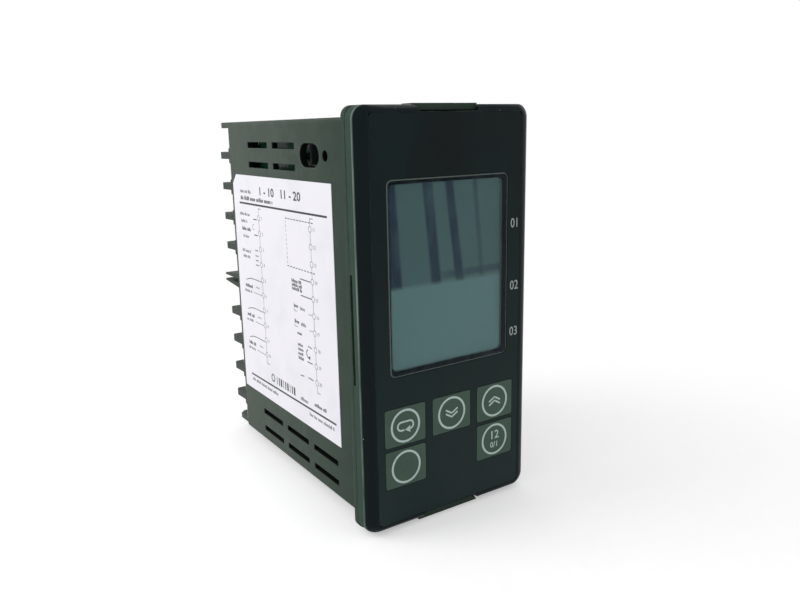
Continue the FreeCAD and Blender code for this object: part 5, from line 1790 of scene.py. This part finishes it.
    def add_leg(self, mesh: BMesh, place: Matrix, wide: float) -> None:
        """Add one bent leg that leaves a chip's flank along X and stands on the board at Y 0.

        Args:
            mesh: the mesh that gets it.
            place: from the leg's own frame to the world.
            wide: its width in millimetres.
        """
        verts = [mesh.verts.new(Vector((out, up, -wide / 2)) * MM) for out, up in self.leg_outline]
        made = bmesh.ops.extrude_face_region(mesh, geom=[mesh.faces.new(verts)])["geom"]
        top = [item for item in made if isinstance(item, BMVert)]
        bmesh.ops.translate(mesh, verts=top, vec=(0, 0, wide * MM))
        bmesh.ops.transform(mesh, matrix=place, verts=verts + top)
        bmesh.ops.recalc_face_normals(mesh, faces=faces_at(verts + top))

    def make_joints(self, finishes: Finishes) -> None:
        """Solder the through legs on the outer faces of the two long boards.

        Args:
            finishes: the materials.
        """
        mesh = bmesh.new()
        left = [(self.core_y + step * self.pin_pitch, row) for step in range(-2, 3) for row in self.coil_rows]
        left += [(self.can_y + step * self.pin_pitch, height) for step in (-1, 1) for height in self.can_z]
        left += [(self.can_y + step * 2 * self.pin_pitch, self.choke_z) for step in (-1, 1)]
        right = [(self.relay_y + across, middle + up) for middle in self.relay_z
                 for across, up in self.relay_legs]
        for side, spots, contact_foot in ((-1, left, self.contact_feet[0]), (1, right, self.contact_feet[1])):
            spots += [(self.header_y, self.header_foot + self.pin_pitch * step)
                      for step in range(self.header_pins)]
            spots += [(self.contact_y, contact_foot + self.contact_pitch * step)
                      for step in range(self.contacts)]
            for across, up in spots:
                add_turned(mesh, list(self.joint_outline), (side * self.board_out, across, up), (side, 0, 0))
        make_piece("soldered_joints", mesh, finishes.solder, "front_unit")


# ---------------------------------------------------------------- print on the case and the front


@dataclass
class SideLabel:
    """The wiring label on the left side: rules, two columns of numbered terminals and small diagrams.

    Places on it are given in millimetres, towards the front and up. Text is tiny, small or plain.
    """

    fine: float = 0.16
    bold: float = 0.5
    tiny: float = 0.8
    small: float = 0.9
    plain: float = 1.0
    rows: int = 10
    pitch: float = 4.27
    first: float = 20.2
    left: float = -49.6
    right: float = -19.5

    def build(self, finishes: Finishes) -> None:
        """Dress the film and print it.

        Args:
            finishes: the materials.
        """
        dress_node("side_label", finishes.label)
        dark = Print(Face.LABEL)
        pale = Print(Face.LABEL)
        self.print_rules(dark, pale)
        self.print_columns(dark, pale)
        self.print_left_diagrams(dark, pale)
        self.print_right_diagrams(dark, pale)
        dark.done("label_bold_print", finishes.dark_ink, "case")
        pale.done("label_fine_print", finishes.fine_ink, "case")

    def print_rules(self, dark: Print, pale: Print) -> None:
        """Print the heading, the two thick rules and the lines of small text by them.

        Args:
            dark: the print in bold ink.
            pale: the print in fine ink.
        """
        dark.bar((-62.3, 23.6), (-10.8, 23.8), self.bold)
        dark.bar((-61.6, -26.8), (-10.3, -26.2), self.bold)
        dark.figures("1 - 10   11 - 20", (-36.2, 27.4), 2.2, 1.34, 0.05)
        pale.words((-61.3, 27.0), -53.6, self.plain, 1)
        dark.words((-61.3, 25.1), -39.8, 1.1, 2)
        pale.words((-61.0, -28.2), -43.0, self.small, 3)
        pale.words((-24.4, -27.8), -11.4, self.small, 4)
        pale.ring((-46.2, -24.1), 0.95, 0.5)
        for number in range(9):
            across = -43.6 + 1.35 * number
            dark.bar((across, -25.3), (across, -23.1), 0.3 + 0.25 * (number % 3))
        pale.words((-29.2, -24.9), -24.2, self.plain, 5)
        dark.words((-21.4, -24.3), -15.0, 0.95, 6)

    def print_columns(self, dark: Print, pale: Print) -> None:
        """Print the two columns of terminals with their plain numbers.

        Args:
            dark: the print in bold ink.
            pale: the print in fine ink.
        """
        for side, across in enumerate((self.left, self.right)):
            foot = self.first - self.pitch * (self.rows - 1)
            for height, way in ((self.first + 2.5, 1), (foot - 2.5, -1)):
                dark.bar((across, height), (across + 1.6, height), self.fine)
                pale.bar((across, height), (across, height - way * 1.6), self.fine)
            for row in range(self.rows):
                height = self.first - row * self.pitch
                pale.ring((across, height), 0.72, self.fine, steps=20)
                if row:
                    pale.bar((across, height + 0.8), (across, height + self.pitch - 0.8), self.fine)
                pale.figures(str(row + 1 + side * self.rows), (across + 1.9, height), 0.95)

    def print_left_diagrams(self, dark: Print, pale: Print) -> None:
        """Print the small diagrams left of the first column.

        Args:
            dark: the print in bold ink.
            pale: the print in fine ink.
        """
        for height in (19.6, 15.3):
            dark.bar((-53.2, height), (-51.0, height), 0.28)
        pale.words((-62.6, 20.6), -55.6, self.tiny, 11)
        pale.words((-62.0, 18.6), -57.4, self.tiny, 12)
        dark.words((-61.6, 16.5), -55.0, self.plain, 13)
        pale.words((-61.0, 14.4), -57.0, self.tiny, 14)
        pale.ring((-53.4, 17.4), 0.7, self.fine, 60, 240, 14)
        for height in (11.0, 9.5, 8.2, 6.9):
            dark.bar((-53.3, height), (-51.4, height), 0.24)
        pale.words((-62.4, 10.2), -56.2, self.small, 15)
        pale.words((-62.0, 8.6), -57.2, self.small, 16)
        for number, height in enumerate((2.5, -6.1, -14.6)):
            dark.line([(-61.2, height - 0.9), (-58.6, height - 0.2), (-56.5, height), (-50.3, height)], 0.2)
            pale.line([(-56.3, height - 3.9), (-50.3, height - 3.9), (-50.3, height - 3.6)], self.fine)
            for turn in range(3):
                pale.ring((-54.0 + 0.8 * turn, height - 2.4), 0.4, self.fine, 0, 180, 8)
            dark.words((-61.8, height - 2.4), -56.4, self.plain, 20 + number)
            pale.words((-62.3, height - 4.0), -57.5, self.tiny, 30 + number)

    def print_right_diagrams(self, dark: Print, pale: Print) -> None:
        """Print the dashed box and the small diagrams left of the second column.

        Args:
            dark: the print in bold ink.
            pale: the print in fine ink.
        """
        for height in (21.7, 9.6):
            dark.dashes((-33.0, height), (-17.4, height), 0.22, 1.0)
        pale.dashes((-32.9, 21.2), (-32.7, 9.8), self.fine, 0.8)
        for height in (7.2, 3.0):
            dark.bar((-26.2, height), (-20.4, height), 0.24)
        for line, height in enumerate((6.2, 5.2, 4.2)):
            dark.words((-31.0, height), -25.0, self.small, 40 + line)
        for number, height in enumerate((-0.6, -4.7)):
            pale.line([(-30.4, height + 1.0), (-30.4, height - 1.0), (-28.8, height - 1.0)], self.fine)
            dark.words((-30.2, height + 0.4), -27.9, self.small, 50 + number)
            pale.words((-26.9, height + 0.2), -24.0, self.small, 52 + number)
            pale.bar((-22.3, height - 0.6), (-20.4, height - 0.5), self.fine)
        for line, height in enumerate((-7.2, -10.2, -11.4, -12.6, -13.8)):
            dark.words((-29.2, height), -26.0, self.tiny, 60 + line)
        for start, end in (((-23.5, -9.6), (-21.4, -9.8)), ((-24.2, -13.8), (-21.5, -13.8)),
                           ((-24.2, -18.0), (-21.4, -18.1)), ((-28.6, -18.5), (-26.5, -18.3))):
            dark.bar(start, end, 0.26)
        dark.ring((-23.5, -11.6), 1.0, 0.3, 100, 230, 16)
        dark.wedge((-23.0, -12.6), 0.6, 300)


@dataclass
class FrontLegends:
    """The plain figures beside the window."""

    across: float = 19.25
    heights: tuple[float, ...] = (20.4, 5.25, -6.3)
    tall: float = 2.3

    def build(self, finishes: Finishes) -> None:
        """Print the figures.

        Args:
            finishes: the materials.
        """
        legend = Print(Face.FRONT)
        for number, height in enumerate(self.heights, 1):
            legend.figures(f"0{number}", (self.across, height), self.tall, 0.85)
        legend.done("display_row_numbers", finishes.legend_ink, "front_unit")


# ---------------------------------------------------------------- studio


@dataclass
class Studio:
    """The plain room: white all round, a pale floor, a large soft lamp and a weak one."""

    floor_mm: float = -48.9
    floor_side_m: float = 6.0
    middle_y: float = 36.0
    near_m: float = 0.05
    far_m: float = 0.2
    light_share: float = 0.6
    floor_glow: float = 0.38
    lamps: tuple[tuple[str, Triple, float, float], ...] = (
        ("key_lamp", (-0.5, 0.3, 0.34), 0.4, 1.75), ("fill_lamp", (0.55, -0.7, 0.45), 0.7, 0.25))

    def build(self) -> None:
        """Make the world, the lamps and the floor."""
        scene = bpy.context.scene
        scene.view_settings.view_transform = "Standard"
        self.make_world(scene)
        for name, where_m, side_m, watts in self.lamps:
            self.make_lamp(name, where_m, side_m, watts)
        self.make_floor(scene)

    def make_world(self, scene: Scene) -> None:
        """Make the world white to the eye and to mirrors, and dimmer as a light.

        Args:
            scene: the scene.
        """
        world = bpy.data.worlds.new("white_room")
        world.use_nodes = True
        tree = world.node_tree
        tree.nodes.clear()
        strength = add_node(tree, "ShaderNodeMapRange", {}, {
            "Value": self.seen_share(tree), "To Min": self.light_share, "To Max": 1.0})
        sky = add_node(tree, "ShaderNodeBackground", {}, {"Color": "ffffff", "Strength": strength.outputs[0]})
        add_node(tree, "ShaderNodeOutputWorld", {}, {"Surface": sky.outputs[0]})
        scene.world = world

    def make_lamp(self, name: str, where_m: Triple, side_m: float, watts: float) -> None:
        """Hang a square soft lamp that faces the object.

        Args:
            name: its name.
            where_m: its place in metres.
            side_m: its side in metres.
            watts: its power.
        """
        light = bpy.data.lights.new(name, "AREA")
        light.size = side_m
        light.energy = watts
        lamp = bpy.data.objects.new(name, light)
        lamp.visible_camera = False
        bpy.context.scene.collection.objects.link(lamp)
        facing = (Vector((0, self.middle_y * MM, 0)) - Vector(where_m)).to_track_quat("-Z", "Y")
        lamp.matrix_world = Matrix.Translation(where_m) @ facing.to_matrix().to_4x4()

    def make_floor(self, scene: Scene) -> None:
        """Lay the floor: pale paper that keeps the shadow, and is white to the eye further off.

        Args:
            scene: the scene.
        """
        mesh = bmesh.new()
        bmesh.ops.create_grid(mesh, x_segments=1, y_segments=1, size=self.floor_side_m / 2)
        bmesh.ops.translate(mesh, verts=mesh.verts[:], vec=(0, 0, self.floor_mm * MM))
        data = to_data("studio_floor", mesh)
        floor = bpy.data.objects.new("studio_floor", data)
        scene.collection.objects.link(floor)
        # Matt background paper, its fibres too fine to see from here.
        coat = Layers("matt_background_paper", "f4f4f4", 0.9, {"Specular IOR Level": 0.1})
        coat.lay(coat.cloud(2.0), "f0f0f0")
        tree = coat.tree
        centred = add_node(tree, "ShaderNodeMapping", {}, {
            "Vector": coat.place, "Location": (0, -self.middle_y * MM, -self.floor_mm * MM)})
        away = add_node(tree, "ShaderNodeVectorMath", {"operation": "LENGTH"}, {0: centred.outputs[0]})
        far = add_node(tree, "ShaderNodeMapRange", {"interpolation_type": "SMOOTHSTEP"}, {
            "Value": away.outputs["Value"], "From Min": self.near_m, "From Max": self.far_m})
        seen = self.seen_share(tree)
        hidden = add_node(tree, "ShaderNodeMath", {"operation": "MULTIPLY"}, {0: seen, 1: far.outputs[0]})
        glow = add_node(tree, "ShaderNodeMath", {"operation": "MULTIPLY"}, {0: seen, 1: self.floor_glow})
        lift = add_node(tree, "ShaderNodeEmission", {}, {"Color": "ffffff", "Strength": glow.outputs[0]})
        near = add_node(tree, "ShaderNodeAddShader", {}, {0: coat.shader.outputs[0], 1: lift.outputs[0]})
        white = add_node(tree, "ShaderNodeEmission", {}, {"Color": "ffffff"})
        both = add_node(tree, "ShaderNodeMixShader", {}, {
            0: hidden.outputs[0], 1: near.outputs[0], 2: white.outputs[0]})
        tree.links.new(both.outputs[0], tree.nodes["Material Output"].inputs["Surface"])
        data.materials.append(coat.done())

    def seen_share(self, tree: NodeTree) -> NodeSocket:
        """Give 1 for what the eye, a mirror or glass sees, and 0 for light that falls on matt things.

        Args:
            tree: the node tree of a material or the world.

        Returns:
            That share.
        """
        ray = add_node(tree, "ShaderNodeLightPath", {}, {})
        direct = add_node(tree, "ShaderNodeMath", {"operation": "MAXIMUM"}, {
            0: ray.outputs["Is Camera Ray"], 1: ray.outputs["Is Glossy Ray"]})
        return add_node(tree, "ShaderNodeMath", {"operation": "MAXIMUM"}, {
            0: direct.outputs[0], 1: ray.outputs["Is Transmission Ray"]}).outputs[0]


@dataclass
class Viewpoint:
    """The camera: its place, lens and sensor in millimetres, its turns in degrees, what it sees in metres."""

    place: Triple = (-102.69, -139.35, 43.39)
    yaw: float = 33.149
    pitch: float = -12.802
    roll: float = -1.29
    lens: float = 33.76
    sensor: float = 36.0
    shift: Pair = (0.0074, -0.0032)
    sees_m: Pair = (0.01, 20.0)

    def build(self) -> None:
        """Set up the camera."""
        yaw, pitch, roll = (math.radians(angle) for angle in (self.yaw, self.pitch, self.roll))
        ahead = Vector((math.sin(yaw) * math.cos(pitch), math.cos(yaw) * math.cos(pitch), math.sin(pitch)))
        right = Vector((math.cos(yaw), -math.sin(yaw), 0))
        up = right.cross(ahead)
        across = math.cos(roll) * right + math.sin(roll) * up
        upright = -math.sin(roll) * right + math.cos(roll) * up
        data = bpy.data.cameras.new("viewpoint")
        data.sensor_width = self.sensor
        data.lens = self.lens
        data.shift_x, data.shift_y = self.shift
        data.clip_start, data.clip_end = self.sees_m
        camera = bpy.data.objects.new("viewpoint", data)
        bpy.context.scene.collection.objects.link(camera)
        turn = Matrix((across, upright, -ahead)).transposed().to_4x4()
        camera.matrix_world = moved(self.place) @ turn
        bpy.context.scene.camera = camera


def main() -> None:
    """Build the controller, the studio and the camera."""
    logging.basicConfig(level=logging.INFO, format="%(message)s")
    finishes = Finishes()
    for part in (RearCase(), Terminals(), Bezel(), Display(), Keys(), Electronics(), SideLabel(),
                 FrontLegends()):
        part.build(finishes)
    Studio().build()
    Viewpoint().build()


if __name__ == "__main__":
    main()
